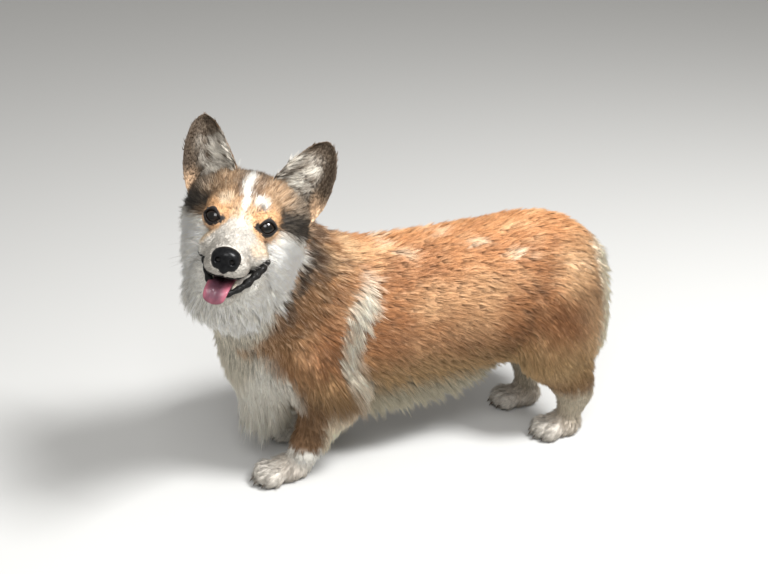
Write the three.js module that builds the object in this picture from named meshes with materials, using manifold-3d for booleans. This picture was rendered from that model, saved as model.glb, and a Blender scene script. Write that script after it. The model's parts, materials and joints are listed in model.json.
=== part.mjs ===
// A Pembroke Welsh corgi, life size, standing with its head turned to its left and its mouth open.
// Lengths are in millimetres. The dog faces -Y, its left side is +X, and its feet rest on z = 0.
import * as THREE from "three";
import { LoftGeometry } from "three/addons/geometries/LoftGeometry.js";
import { mergeVertices } from "three/addons/utils/BufferGeometryUtils.js";
import Module from "manifold-3d";

const wasm = await Module();
wasm.setup();

// Driving dimensions
const withersHeight = 300;
const headLength = 180;
const headCentre = new THREE.Vector3(96, -222, 350);
const headTurn = { pitch: -17.1, roll: 13, yaw: 73.5 };
const seam = 0.32;

// Places on the body are in percent of the withers height, and places on the head in percent of its length.
const body = (side, back, up) =>
  new THREE.Vector3(side, back, up).multiplyScalar(withersHeight / 100);
const face = (side, front, up) =>
  new THREE.Vector3(side, -front, up).multiplyScalar(headLength / 100);
const headSpan = (side, front, up) =>
  new THREE.Vector3(side, front, up).multiplyScalar(headLength / 100);
const bothSides = (make) => [1, -1].map(make);
const radians = THREE.MathUtils.degToRad;
const axes = {
  x: new THREE.Vector3(1, 0, 0),
  y: new THREE.Vector3(0, 1, 0),
  z: new THREE.Vector3(0, 0, 1),
};

// Materials: one colour and finish each
const coat = (colour) =>
  new THREE.MeshStandardMaterial({ color: colour, roughness: 0.9 });
const redCoat = coat(0xc07a42);
const sableCoat = coat(0x8a6f58);
const whiteCoat = coat(0xe9e2d6);
const earCoat = coat(0x6b4f3d);
const noseLeather = new THREE.MeshStandardMaterial({ color: 0x17171a, roughness: 0.4 });
const eyeGloss = new THREE.MeshStandardMaterial({ color: 0x1c120c, roughness: 0.08 });
const tonguePink = new THREE.MeshStandardMaterial({ color: 0xd4748a, roughness: 0.45 });
const clawHorn = new THREE.MeshStandardMaterial({ color: 0x4a3f38, roughness: 0.5 });

// Fields: each gives how far a point lies outside a form, and is negative inside it.
function egg(centre, radii, turn = 0) {
  const q = new THREE.Vector3();
  return (point) => {
    q.copy(point).sub(centre).applyAxisAngle(axes.z, -radians(turn));
    const reach = Math.hypot(q.x / radii.x, q.y / radii.y, q.z / radii.z);
    const slope = Math.hypot(q.x / radii.x ** 2, q.y / radii.y ** 2, q.z / radii.z ** 2);
    return slope < 1e-9 ? -radii.x : (reach * (reach - 1)) / slope;
  };
}

function limb(start, startRadius, end, endRadius) {
  const along = end.clone().sub(start);
  const lengthSq = along.lengthSq();
  const q = new THREE.Vector3();
  return (point) => {
    const t = THREE.MathUtils.clamp(q.copy(point).sub(start).dot(along) / lengthSq, 0, 1);
    const nearest = q.copy(start).addScaledVector(along, t);
    return nearest.distanceTo(point) - THREE.MathUtils.lerp(startRadius, endRadius, t);
  };
}

// A smooth union: forms closer than the reach flow into one another.
function blend(reach, ...fields) {
  return (point) =>
    fields
      .map((field) => field(point))
      .reduce((a, b) => {
        const h = Math.max(reach - Math.abs(a - b), 0) / reach;
        return Math.min(a, b) - (h * h * reach) / 4;
      });
}

function outwards(field, point, target = new THREE.Vector3()) {
  const step = 0.5;
  const q = new THREE.Vector3();
  const along = (axis) =>
    field(q.copy(point).addScaledVector(axis, step)) -
    field(q.copy(point).addScaledVector(axis, -step));
  return target.set(along(axes.x), along(axes.y), along(axes.z)).normalize();
}

// The point where a ray that starts inside a form leaves it.
function surfacePoint(field, origin, direction) {
  const at = (r) => field(origin.clone().addScaledVector(direction, r));
  let outer = 1;
  while (at(outer) < 0 && outer < withersHeight * 2) outer += Math.max(1, -0.7 * at(outer));
  let inner = Math.max(0, outer - withersHeight * 0.2);
  while (at(inner) > 0 && inner > 0) inner = Math.max(0, inner - 2);
  for (let i = 0; i < 22; i++) {
    const middle = (inner + outer) / 2;
    if (at(middle) < 0) inner = middle;
    else outer = middle;
  }
  return origin.clone().addScaledVector(direction, outer);
}

// The rays of a form: they leave its spine square to it, and fan out round its two ends.
function raysOf({ spine, side, rings, fan }) {
  const fanTilt = radians(84);
  const along = [];
  for (let i = 0; i < fan; i++) along.push([0, -fanTilt * (1 - i / fan)]);
  for (let i = 0; i <= rings; i++) along.push([i / rings, 0]);
  for (let i = 1; i <= fan; i++) along.push([1, (fanTilt * i) / fan]);
  return along.map(([t, tilt]) => {
    const tangent = spine.getTangent(t);
    const across = side.clone().addScaledVector(tangent, -side.dot(tangent)).normalize();
    const over = tangent.clone().cross(across);
    return {
      origin: spine.getPoint(t),
      towards: (angle) =>
        across
          .clone()
          .multiplyScalar(Math.cos(angle) * Math.cos(tilt))
          .addScaledVector(over, Math.sin(angle) * Math.cos(tilt))
          .addScaledVector(tangent, Math.sin(tilt)),
    };
  });
}

function formOf(field, { sides, ...layout }) {
  const sections = raysOf(layout).map(({ origin, towards }) =>
    Array.from({ length: sides }, (_, j) =>
      surfacePoint(field, origin, towards((j / sides) * 2 * Math.PI)),
    ),
  );
  return solid(new LoftGeometry(sections, { capStart: true, capEnd: true }));
}

const line = (...points) => new THREE.CatmullRomCurve3(points);

// A regular ring round a middle; first and second turn it the way the loft runs.
const roundSection = (middle, first, second, radius, corners) =>
  Array.from({ length: corners }, (_, j) => {
    const angle = (j / corners) * 2 * Math.PI;
    return middle
      .clone()
      .addScaledVector(first, radius * Math.cos(angle))
      .addScaledVector(second, radius * Math.sin(angle));
  });

// Solids and meshes
function solid(geometry) {
  const bare = (geometry.index ? geometry.toNonIndexed() : geometry.clone())
    .deleteAttribute("normal")
    .deleteAttribute("uv");
  const merged = mergeVertices(bare, 1e-3);
  const made = new wasm.Manifold(
    new wasm.Mesh({
      numProp: 3,
      vertProperties: merged.attributes.position.array,
      triVerts: new Uint32Array(merged.index.array),
    }),
  );
  return made.volume() < 0 ? solid(reversed(merged)) : made;
}

function reversed(geometry) {
  const turned = geometry.clone();
  const corners = turned.index.array;
  for (let i = 0; i < corners.length; i += 3)
    [corners[i + 1], corners[i + 2]] = [corners[i + 2], corners[i + 1]];
  return turned;
}

function geometryOf(made) {
  const mesh = made.getMesh();
  const points = new Float32Array(mesh.numVert * 3);
  for (let i = 0; i < mesh.numVert; i++)
    points.set(mesh.vertProperties.subarray(i * mesh.numProp, i * mesh.numProp + 3), i * 3);
  return new THREE.BufferGeometry()
    .setAttribute("position", new THREE.BufferAttribute(points, 3))
    .setIndex(new THREE.BufferAttribute(mesh.triVerts.slice(), 1));
}

// The same solid with its skin moved out by the seam's width.
function grown(made) {
  const geometry = geometryOf(made);
  geometry.computeVertexNormals();
  const { position, normal } = geometry.attributes;
  for (let i = 0; i < position.count; i++)
    position.setXYZ(
      i,
      position.getX(i) + seam * normal.getX(i),
      position.getY(i) + seam * normal.getY(i),
      position.getZ(i) + seam * normal.getZ(i),
    );
  geometry.deleteAttribute("normal");
  return solid(geometry);
}

// Keeps the largest closed surface of a solid, so that no loose scrap or sealed hollow is left.
function largest(made) {
  const pieces = made.decompose();
  return pieces.reduce((a, b) => (b.volume() > a.volume() ? b : a));
}

const joined = (...pieces) => pieces.reduce((a, b) => a.add(b));
const cut = (made, ...cutters) => cutters.reduce((a, b) => a.subtract(b), made);
const cutClear = (made, ...neighbours) =>
  largest(cut(made, ...neighbours.map(grown), ...neighbours));

// Rounding can pinch off a scrap too small to see, so each node is rounded before its last choice of body.
const dog = new THREE.Group();
function addNode(name, made, material, parent = dog) {
  const whole = largest(solid(geometryOf(made)));
  const mesh = new THREE.Mesh(geometryOf(whole), material);
  mesh.name = name;
  parent.add(mesh);
}

// Random draws repeat on every run.
function seededRandom(seed) {
  let state = seed;
  return () => {
    state = (state * 1664525 + 1013904223) % 4294967296;
    return state / 4294967296;
  };
}

const sides = [
  ["left", 1],
  ["right", -1],
];

// Head: skull, brows, cheeks and muzzle in one form, in the head's own frame
const headField = blend(
  15,
  egg(face(0, -5, 8), headSpan(29, 34, 27)),
  ...bothSides((sign) => egg(face(sign * 11, 20, 12), headSpan(11, 9, 8))),
  ...bothSides((sign) => egg(face(sign * 25, -6, 6), headSpan(13.5, 18, 17))),
  ...bothSides((sign) => egg(face(sign * 21.5, -2, -12), headSpan(13.5, 20, 20))),
  limb(face(0, 24, -6), headLength * 0.148, face(0, 55.4, -15), headLength * 0.097),
  ...bothSides((sign) => egg(face(sign * 5.6, 51, -18.8), headSpan(7.2, 12.5, 6.4))),
  ...bothSides((sign) => egg(face(sign * 12.5, 30, -13), headSpan(9, 12, 9))),
);
const headForm = formOf(headField, {
  spine: line(face(0, -16, 0), face(0, 15, -2), face(0, 52, -14)),
  side: axes.x,
  rings: 10,
  fan: 3,
  sides: 24,
});

// Eyes: round balls in sockets, each under lids that leave an almond opening
const eyeRadius = headLength * 0.064;
const lidThickness = headLength * 0.012;
const eyeSpot = (sign) => face(sign * 14.8, 23.6, 4.6);
const gaze = (sign) => new THREE.Vector3(sign * 0.36, -1, 0.08).normalize();

const ball = (centre, radius, columns, rows) =>
  solid(new THREE.SphereGeometry(radius, columns, rows).translate(...centre));

function lidOpening(sign) {
  const corner = eyeRadius * 0.84;
  const slant = eyeRadius * 0.1 * sign;
  const almond = new THREE.Shape()
    .moveTo(-corner, -slant)
    .quadraticCurveTo(0, eyeRadius * 1.3, corner, slant)
    .quadraticCurveTo(0, eyeRadius * -1.2, -corner, -slant);
  const turn = new THREE.Matrix4().lookAt(gaze(sign), new THREE.Vector3(), axes.z);
  return solid(
    new THREE.ExtrudeGeometry(almond, { depth: eyeRadius * 3, bevelEnabled: false, curveSegments: 5 })
      .applyMatrix4(turn)
      .translate(...eyeSpot(sign)),
  );
}

// Mouth: prisms across the head, with their outline in percent of the head's length
function acrossHead(outline) {
  const scale = headLength / 100;
  const shape = new THREE.Shape(outline.map(([front, up]) => new THREE.Vector2(front, up)));
  const toFace = new THREE.Matrix4().makeBasis(
    new THREE.Vector3(0, -scale, 0),
    new THREE.Vector3(0, 0, scale),
    new THREE.Vector3(-scale, 0, 0),
  );
  return solid(
    new THREE.ExtrudeGeometry(shape, { depth: 100, bevelEnabled: false })
      .applyMatrix4(toFace)
      .translate(headLength / 2, 0, 0),
  );
}
const mouthCorner = [27, -14.5];
const palate = [
  mouthCorner,
  [44, -22.6],
  [60, -25],
  [80, -27],
  [80, -70],
  [mouthCorner[0] - 4, -70],
];
const jawBed = [mouthCorner, [45, -28.5], [52, -33.6], [80, -36], [80, 0], [mouthCorner[0], 0]];

// Nose: a leathery pad with two comma nostrils
const noseField = blend(
  5,
  egg(face(0, 61.6, -13), headSpan(8.4, 7, 6)),
  ...bothSides((sign) => egg(face(sign * 4.4, 62.2, -16), headSpan(4.3, 5.4, 5.8))),
  egg(face(0, 62.2, -19.4), headSpan(3.4, 4.6, 4.4)),
);
const noseForm = formOf(noseField, {
  spine: line(face(0, 58.5, -14.4), face(0, 64, -15)),
  side: axes.x,
  rings: 2,
  fan: 3,
  sides: 12,
});
function nostril(sign) {
  const field = blend(
    2,
    limb(face(sign * 4.2, 71.4, -15.4), 3.2, face(sign * 4, 64.4, -15.2), 2),
    limb(face(sign * 6.8, 70.4, -17.6), 2, face(sign * 4.6, 66.9, -16.2), 2),
  );
  return formOf(field, {
    spine: line(face(sign * 4.2, 70.4, -15.4), face(sign * 4, 65.4, -15.2)),
    side: axes.x,
    rings: 2,
    fan: 2,
    sides: 6,
  });
}

// Lower jaw: a shallow trough that hangs open, with two canine teeth
const jawField = blend(
  10,
  limb(face(0, 14, -29), headLength * 0.14, face(0, 44, -37.6), headLength * 0.068),
  ...bothSides((sign) => egg(face(sign * 11, 24, -27), headSpan(9.5, 14, 12))),
  egg(face(0, 46, -37.2), headSpan(8.6, 7, 5)),
);
const jawForm = formOf(jawField, {
  spine: line(face(0, 13, -29), face(0, 46, -38)),
  side: axes.x,
  rings: 6,
  fan: 2,
  sides: 13,
});
function canineTooth(sign) {
  const sections = [0, 0.5, 0.85, 1].map((t) => {
    const middle = face(sign * (5.6 + 0.6 * t), 47.6 - 1.2 * t * t, -36 + 6.4 * t);
    return roundSection(middle, axes.x, axes.y, headLength * 0.014 * (1 - 0.85 * t * t), 6);
  });
  return solid(new LoftGeometry(sections, { capStart: true, capEnd: true }));
}

// Tongue: lies in the jaw and hangs over its front, to the dog's right
function tongueForm() {
  const middle = line(
    face(0, 33, -27),
    face(-0.4, 44, -29.6),
    face(-1, 52, -31),
    face(-1.6, 56.2, -34.4),
    face(-2, 56.6, -39.5),
  );
  const rings = 8;
  const sections = Array.from({ length: rings + 1 }, (_, i) => {
    const t = i / rings;
    const along = middle.getTangent(t);
    const across = axes.x.clone().addScaledVector(along, -axes.x.dot(along)).normalize();
    const over = along.clone().cross(across).normalize();
    const tip = Math.sqrt(Math.max(0.02, 1 - THREE.MathUtils.smoothstep(t, 0.76, 1) ** 2));
    const half = headLength * 0.071 * tip;
    const thick = headLength * 0.018 * Math.max(0.4, tip);
    return Array.from({ length: 8 }, (_, j) => {
      const angle = (j / 8) * 2 * Math.PI;
      const groove = Math.sin(angle) > 0.9 ? 0.5 * thick : 0;
      return middle
        .getPoint(t)
        .addScaledVector(across, half * Math.cos(angle))
        .addScaledVector(over, thick * Math.sin(angle) - groove);
    });
  });
  return solid(new LoftGeometry(sections, { capStart: true, capEnd: true }));
}

// Ears: upright cups between an inner and an outer edge, open to the front
const earFlare = { left: 1.04, right: 0.985 };
function earForm(sign, flare) {
  const edge = (...points) =>
    line(...points.map(([side, front, up]) => face(sign * side * flare, front, up)));
  const inner = edge([11.5, 0, 33], [17, 3, 43], [26, 2, 55], [34.5, -1, 61.6]);
  const outer = edge([37, -10, 9], [43.5, -6, 23], [46, -2, 38], [45.3, 0, 52], [39.8, -1.6, 63]);
  const rings = 7;
  const across = 4;
  const backwards = new THREE.Vector3(-sign * 0.3, 0.95, 0.1).normalize();
  const sections = Array.from({ length: rings + 1 }, (_, i) => {
    const t = i / rings;
    const from = inner.getPoint(t);
    const span = outer.getPoint(t).sub(from);
    const cup = headLength * (0.13 * (1 - t) ** 0.7 + 0.014);
    const thick = headLength * THREE.MathUtils.lerp(0.03, 0.02, t);
    const hollow = i === 0 || i === rings ? -0.6 * thick : cup * 0.9;
    const spot = (share, depth) =>
      from.clone().addScaledVector(span, share).addScaledVector(backwards, depth);
    const ring = [];
    for (let j = 0; j <= across; j++) {
      const share = j / across;
      const arc = Math.sqrt(Math.max(0, 1 - (2 * share - 1) ** 2));
      ring.push(spot(share, cup * arc + thick));
      ring.unshift(spot(THREE.MathUtils.lerp(0.04, 0.96, share), hollow * arc));
    }
    return sign > 0 ? ring.reverse() : ring;
  });
  return solid(new LoftGeometry(sections, { capStart: true, capEnd: true }));
}

// Locks: flat, tapered tufts that leave the surface along the lie of the coat and bend over one another
const random = seededRandom(11);
const vary = (size, share) => size * (1 + share * (2 * random() - 1));

// How wide and how high a lock is at each of its rings, in shares of its width and its lift
const lockRings = [
  { along: 0, width: 0.75, lift: -0.35 },
  { along: 0.3, width: 1, lift: 0.3 },
  { along: 0.68, width: 0.72, lift: 0.75 },
  { along: 1, width: 0.06, lift: 1 },
];

// A lock that clings follows the surface; one that doesn't hangs free of it.
function lockOf(field, root, lie, { length, width, lift, cling = 0.8, thick = 0.14 }) {
  const spot = root.clone();
  const normal = new THREE.Vector3();
  const reach = vary(length, 0.2);
  const half = vary(width, 0.18) / 2;
  const rise = vary(lift, 0.25);
  const turn = radians(20 * (random() - 0.5));
  const curl = radians(24 * (random() - 0.5));
  let gone = 0;
  const sections = lockRings.map((ring) => {
    outwards(field, spot, normal);
    const along = lie(spot).applyAxisAngle(normal, turn + curl * ring.along).normalize();
    spot.addScaledVector(along, (ring.along - gone) * reach);
    gone = ring.along;
    outwards(field, spot, normal);
    const gap = field(spot) - rise * ring.lift;
    spot.addScaledVector(normal, gap < 0 ? -gap : -gap * cling);
    const across = normal.clone().cross(along).normalize();
    const over = along.clone().cross(across);
    const flat = Math.max(half * ring.width, 0.5);
    const depth = Math.max(half * ring.width * thick * 2, 0.35);
    return [
      spot.clone().addScaledVector(across, flat),
      spot.clone().addScaledVector(over, depth),
      spot.clone().addScaledVector(across, -flat),
      spot.clone().addScaledVector(over, -depth),
    ];
  });
  return solid(new LoftGeometry(sections, { capStart: true, capEnd: true }));
}

// Rows of locks: evenly spaced places along a row, each a little off its place
const rowOf = (count, from, to, place) =>
  Array.from({ length: count }, (_, i) => {
    const share = count > 1 ? (i + 0.35 * (random() - 0.5)) / (count - 1) : 0;
    return place(THREE.MathUtils.lerp(from, to, share));
  });
const fixedLie = (side, back, up) => {
  const direction = new THREE.Vector3(side, back, up).normalize();
  return () => direction.clone();
};

// The breeches: on the back of each thigh, and on the rump round the tail
const breechLocks = (sign, thighField) =>
  [
    { towards: -6, count: 3 },
    { towards: 4, count: 3 },
  ].flatMap(({ towards, count }) =>
    rowOf(count, 66, 43, (up) => {
      const direction = body(sign * towards, 20, 0).normalize();
      const root = surfacePoint(thighField, body(sign * 17, 62, up), direction);
      return lockOf(thighField, root, fixedLie(sign * 0.05, 0.25, -1), {
        length: withersHeight * 0.19,
        width: withersHeight * 0.12,
        lift: withersHeight * 0.035,
        cling: 0.75,
      });
    }),
  );

// The feather: on the back of each foreleg
const featherLocks = (sign, wristBack, legField) =>
  rowOf(4, 33, 18, (up) => {
    const within = body(sign * 19, wristBack + (up - 14) * 0.38, up);
    const root = surfacePoint(legField, within, axes.y);
    return lockOf(legField, root, fixedLie(sign * 0.05, 0.5, -1), {
      length: withersHeight * 0.11,
      width: withersHeight * 0.08,
      lift: withersHeight * 0.03,
      cling: 0.3,
    });
  });

// Paws: four toes round a pad, flat where they stand, with a claw on each toe
const toeSpots = [
  [-5.2, -6.6],
  [-1.8, -8.8],
  [1.8, -8.8],
  [5.2, -6.6],
];
function pawOf(centre, turn) {
  const yaw = radians(turn);
  const spot = (x, y, z) => body(x, y, z).applyAxisAngle(axes.z, yaw).add(centre);
  const field = blend(
    4,
    egg(spot(0, 1, 4.6), body(7, 9.6, 5.8), turn),
    ...toeSpots.map(([x, y]) => egg(spot(x, y, 3.9), body(2.9, 4.8, 4.3), turn)),
  );
  const form = formOf(field, {
    spine: line(spot(0, 3, 4.6), spot(0, -6, 3.6)),
    side: axes.x.clone().applyAxisAngle(axes.z, yaw),
    rings: 3,
    fan: 2,
    sides: 14,
  });
  const claws = toeSpots.map(([x, y]) => {
    const sections = [0, 0.6, 1].map((t) => {
      const middle = spot(x * (1 + 0.05 * t), y - 4.1 - 1.9 * t, 3 - 0.6 * t - 1.1 * t * t);
      return roundSection(middle, axes.x, axes.z, withersHeight * 0.0075 * (1 - 0.8 * t * t), 4);
    });
    return solid(new LoftGeometry(sections, { capStart: true, capEnd: true }));
  });
  return { form, claws };
}

// Legs: each is one form from shoulder or hip to toes, later parted at the joints
const wristBacks = { left: -49.3, right: -35 };
const hockBacks = { left: 70.6, right: 64.5 };
const legsInnerSide = { normal: new THREE.Vector3(1, 0, -0.13).normalize(), reach: withersHeight * 0.06 };
const outerPart = (made, sign) => {
  const { x, y, z } = legsInnerSide.normal;
  return made.trimByPlane([sign * x, y, z], legsInnerSide.reach);
};
function forelegOf(sign, wristBack, turn) {
  const shoulder = body(sign * 20, -50, 56);
  const elbow = body(sign * 22, -40, 38);
  const wrist = body(sign * 17.6, wristBack, 14.5);
  const knuckles = body(sign * 16.8, wristBack - 4, 5.5);
  const field = blend(
    18,
    limb(shoulder, withersHeight * 0.165, elbow, withersHeight * 0.13),
    limb(elbow, withersHeight * 0.12, wrist, withersHeight * 0.068),
    limb(wrist, withersHeight * 0.066, knuckles, withersHeight * 0.06),
  );
  const limbForm = formOf(field, {
    spine: line(shoulder, body(sign * 21.5, -45, 37), wrist, knuckles),
    side: axes.x,
    rings: 8,
    fan: 2,
    sides: 13,
  });
  const paw = pawOf(body(sign * 16.6, wristBack - 9.4, 0), turn);
  return {
    locks: { lower: featherLocks(sign, wristBack, field) },
    whole: outerPart(joined(limbForm, paw.form), sign),
    claws: paw.claws,
    cuts: [
      { point: elbow, normal: new THREE.Vector3(0, 0.3, 1) },
      { point: body(0, wristBack, 12), normal: new THREE.Vector3(0, 0.35, 1) },
    ],
  };
}

function hindlegOf(sign, hockBack, turn) {
  const hip = body(sign * 13.5, 60, 65);
  const stifle = body(sign * 20.5, 56, 43);
  const shank = body(sign * 20, hockBack - 3, 29);
  const hock = body(sign * 17.6, hockBack + 1, 22);
  const knuckles = body(sign * 16, hockBack - 1.5, 6);
  const field = blend(
    24,
    limb(hip, withersHeight * 0.21, stifle, withersHeight * 0.125),
    egg(body(sign * 17, 67, 52), body(13, 18, 22)),
    limb(stifle, withersHeight * 0.115, shank, withersHeight * 0.085),
    limb(shank, withersHeight * 0.083, hock, withersHeight * 0.068),
    limb(hock, withersHeight * 0.062, knuckles, withersHeight * 0.058),
  );
  const limbForm = formOf(field, {
    spine: line(hip, body(sign * 18.5, 64, 48), shank, hock, knuckles),
    side: axes.x,
    rings: 9,
    fan: 2,
    sides: 14,
  });
  const paw = pawOf(body(sign * 15.6, hockBack - 4.4, 0), turn);
  return {
    locks: { upper: breechLocks(sign, field) },
    whole: outerPart(joined(limbForm, paw.form), sign),
    claws: paw.claws,
    cuts: [
      { point: shank, normal: new THREE.Vector3(0, -0.2, 1) },
      { point: body(0, hockBack, 12), normal: new THREE.Vector3(0, 0.35, 1) },
    ],
  };
}

// Torso: ribs, loin, rump, forechest and the fall of the belly coat
const torsoField = blend(
  34,
  egg(body(0, -22, 63), body(33.5, 54, 34.5)),
  egg(body(0, 26, 66), body(31.5, 52, 33)),
  egg(body(0, 57, 69.5), body(30, 33, 31)),
  egg(body(0, -61, 53), body(22, 18, 27)),
  egg(body(0, -8, 37), body(18, 42, 12.5)),
);
const torsoForm = formOf(torsoField, {
  spine: line(body(0, -48, 58), body(0, 0, 61), body(0, 60, 68)),
  side: axes.x,
  rings: 9,
  fan: 3,
  sides: 20,
});

// Head's place on the body, and the neck that reaches it
const head = new THREE.Group();
head.position.copy(headCentre);
head.rotation.set(radians(headTurn.pitch), radians(headTurn.roll), radians(headTurn.yaw), "ZXY");
head.updateMatrix();
const toHead = head.matrix.clone().invert();
const inBody = (point) => point.applyMatrix4(head.matrix);
const placed = (made) => made.transform(head.matrix.toArray());
const inHeadFrame = (made) => made.transform(toHead.toArray());

const nape = inBody(face(0, -24, 0));
const throat = inBody(face(0, -2, -30));
const neckField = blend(
  30,
  limb(body(3, -34, 72), withersHeight * 0.225, nape, withersHeight * 0.17),
  limb(body(2, -56, 60), withersHeight * 0.22, throat, withersHeight * 0.165),
  egg(inBody(face(-4, 6, -43)), body(13.5, 13.5, 10)),
);
const neckForm = formOf(neckField, {
  spine: line(body(2, -46, 68), nape.clone().lerp(throat, 0.45)),
  side: axes.x,
  rings: 5,
  fan: 2,
  sides: 18,
});

// Tail: a short nub, low on the rump
const tailLine = [body(0, 81, 78), body(0, 87.6, 70.5)];
const tailField = limb(tailLine[0], withersHeight * 0.045, tailLine[1], withersHeight * 0.032);
const tailForm = formOf(tailField, {
  spine: line(...tailLine),
  side: axes.x,
  rings: 2,
  fan: 2,
  sides: 8,
});

// Locks of the head: the white cheeks, in two rows from below each ear round to the throat
const headLie = (sign) => fixedLie(sign * 0.42, 0.72, -0.56);
const cheekLocks = bothSides((sign) =>
  [
    { front: 7, count: 4, from: 90, to: 146, length: 17 },
    { front: -7, count: 4, from: 78, to: 146, length: 19 },
  ].flatMap(({ front, count, from, to, length }) =>
    rowOf(count, from, to, (angle) => {
      const towards = new THREE.Vector3(
        sign * Math.sin(radians(angle)),
        0,
        Math.cos(radians(angle)),
      );
      const root = surfacePoint(headField, face(sign * 4, front, -6), towards);
      return lockOf(headField, root, headLie(sign), {
        length: (headLength * length) / 100,
        width: headLength * 0.15,
        lift: headLength * 0.065,
        cling: 0.35,
      });
    }),
  ),
).flat();

// Locks of the body hang on the outline that the head, neck, torso and upper legs make together.
const headInBody = (point) => headField(point.clone().applyMatrix4(toHead));
const coatField = blend(10, torsoField, neckField, headInBody);

// The ruff: rows round the neck, one behind another, falling back and down
const neckLine = line(body(2, -38, 66), nape.clone().lerp(throat, 0.45));
const ruffLie = (spot) => {
  const back = neckLine.getTangent(0.5).negate();
  return back.addScaledVector(axes.z, spot.y < body(0, -62, 0).y ? -0.9 : -0.35).normalize();
};
const ruffLocks = [
  { along: 0.98, count: 10, start: 0 },
  { along: 0.74, count: 9, start: 18 },
  { along: 0.48, count: 8, start: 4 },
].flatMap(({ along, count, start }) => {
  const origin = neckLine.getPoint(along);
  const tangent = neckLine.getTangent(along);
  const across = axes.x.clone().addScaledVector(tangent, -axes.x.dot(tangent)).normalize();
  return rowOf(count, start, start + 360 - 360 / count, (angle) => {
    const towards = across.clone().applyAxisAngle(tangent, radians(angle));
    return lockOf(coatField, surfacePoint(neckField, origin, towards), ruffLie, {
      length: withersHeight * 0.2,
      width: withersHeight * 0.13,
      lift: withersHeight * 0.045,
    });
  });
});

// The bib and the fringe below the belly
const bibLocks = [
  { up: 50, count: 5, side: 16 },
  { up: 40, count: 5, side: 18 },
  { up: 32, count: 4, side: 12 },
].flatMap(({ up, count, side }) =>
  rowOf(count, -side, side, (x) => {
    const origin = body(x * 0.5, -56, up + 4);
    const root = surfacePoint(torsoField, origin, body(x, -30, 4).normalize());
    return lockOf(torsoField, root, fixedLie(x / 60, 0.12, -1), {
      length: withersHeight * 0.18,
      width: withersHeight * 0.09,
      lift: withersHeight * 0.045,
      cling: 0.3,
    });
  }),
);
const bellyLocks = bothSides((sign) =>
  rowOf(10, -38, 40, (back) => {
    const root = surfacePoint(torsoField, body(sign * 7, back, 50), body(sign * 15, 0, -17).normalize());
    return lockOf(torsoField, root, fixedLie(sign * 0.05, 0.5, -1), {
      length: withersHeight * 0.14,
      width: withersHeight * 0.13,
      lift: withersHeight * 0.02,
      cling: 0,
    });
  }),
).flat();

// The pale shock of long hair behind each shoulder
const saddleLocks = bothSides((sign) =>
  rowOf(4, 82, 50, (up) => {
    const root = surfacePoint(torsoField, body(0, -26, up), axes.x.clone().multiplyScalar(sign));
    return lockOf(torsoField, root, fixedLie(sign * 0.05, 0.42, -1), {
      length: withersHeight * 0.22,
      width: withersHeight * 0.11,
      lift: withersHeight * 0.035,
    });
  }),
).flat();

// Parting into nodes: a form that another grows out of is cut clear of it by the seam, and so are locks.
const withLocks = (core, locks, ...neighbours) =>
  largest(joined(core, cut(joined(...locks), ...neighbours.map(grown), ...neighbours)));
const eyes = bothSides((sign) => ball(eyeSpot(sign), eyeRadius, 11, 7));
const lids = bothSides((sign) => ball(eyeSpot(sign), eyeRadius + lidThickness, 12, 8));
const ears = sides.map(([side, sign]) => earForm(sign, earFlare[side]));
const nose = largest(cut(noseForm, ...bothSides(nostril)));
const tongue = tongueForm();
const headWhole = cut(joined(headForm, ...lids), ...bothSides(lidOpening), acrossHead(palate));
const headCore = cutClear(headWhole, ...eyes, nose, ...ears);
const jawWhole = joined(cut(jawForm, acrossHead(jawBed)), ...bothSides(canineTooth));
const jaw = cutClear(jawWhole, headCore, tongue);
const headSolid = withLocks(headCore, cheekLocks, jaw, ...ears, inHeadFrame(neckForm));
addNode("head", headSolid, sableCoat, head);
addNode("lower_jaw", jaw, whiteCoat, head);
addNode("tongue", tongue, tonguePink, head);
addNode("nose", nose, noseLeather, head);
sides.forEach(([side], i) => {
  addNode(side + "_eye", eyes[i], eyeGloss, head);
  addNode(side + "_ear", ears[i], earCoat, head);
});
dog.add(head);

const besideNeck = [jaw, tongue, ...ears].map(placed);
const neckCore = cutClear(neckForm, placed(headCore), ...besideNeck);

// A leg's nodes, from the top down, each with its own locks
function partLeg(whole, cuts, locks) {
  const leg = cutClear(whole, neckCore).trimByPlane(axes.z.toArray(), 0);
  const [upper, middle] = cuts.map(({ point, normal }) => {
    const across = normal.clone().normalize();
    const height = across.dot(point);
    return {
      above: (made) => made.trimByPlane(across.toArray(), height + seam),
      below: (made) => made.trimByPlane(across.clone().negate().toArray(), -height),
    };
  });
  const paw = largest(middle.below(leg));
  let lower = largest(middle.above(upper.below(leg)));
  let top = largest(upper.above(leg));
  if (locks.upper) top = withLocks(top, locks.upper, lower, torsoForm);
  if (locks.lower) lower = withLocks(lower, locks.lower, top, paw, torsoForm);
  return { top, lower, paw };
}
const foreNames = { top: "upper_arm", lower: "forearm", paw: "fore_paw", claw: "fore_claw" };
const hindNames = { top: "thigh", lower: "hock", paw: "hind_paw", claw: "hind_claw" };
const legs = sides.flatMap(([side, sign]) => [
  { ...forelegOf(sign, wristBacks[side], sign * 9), side, names: foreNames },
  { ...hindlegOf(sign, hockBacks[side], sign * 6), side, names: hindNames },
]);
const legNodes = legs.map(({ whole, claws, cuts, locks, names, side }) => {
  const { top, lower, paw } = partLeg(whole, cuts, locks);
  addNode(side + "_" + names.top, top, redCoat);
  addNode(side + "_" + names.lower, lower, redCoat);
  addNode(side + "_" + names.paw, cutClear(paw, ...claws), whiteCoat);
  claws.forEach((claw, i) => addNode(side + "_" + names.claw + "_" + (i + 1), claw, clawHorn));
  return [top, lower];
});

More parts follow.
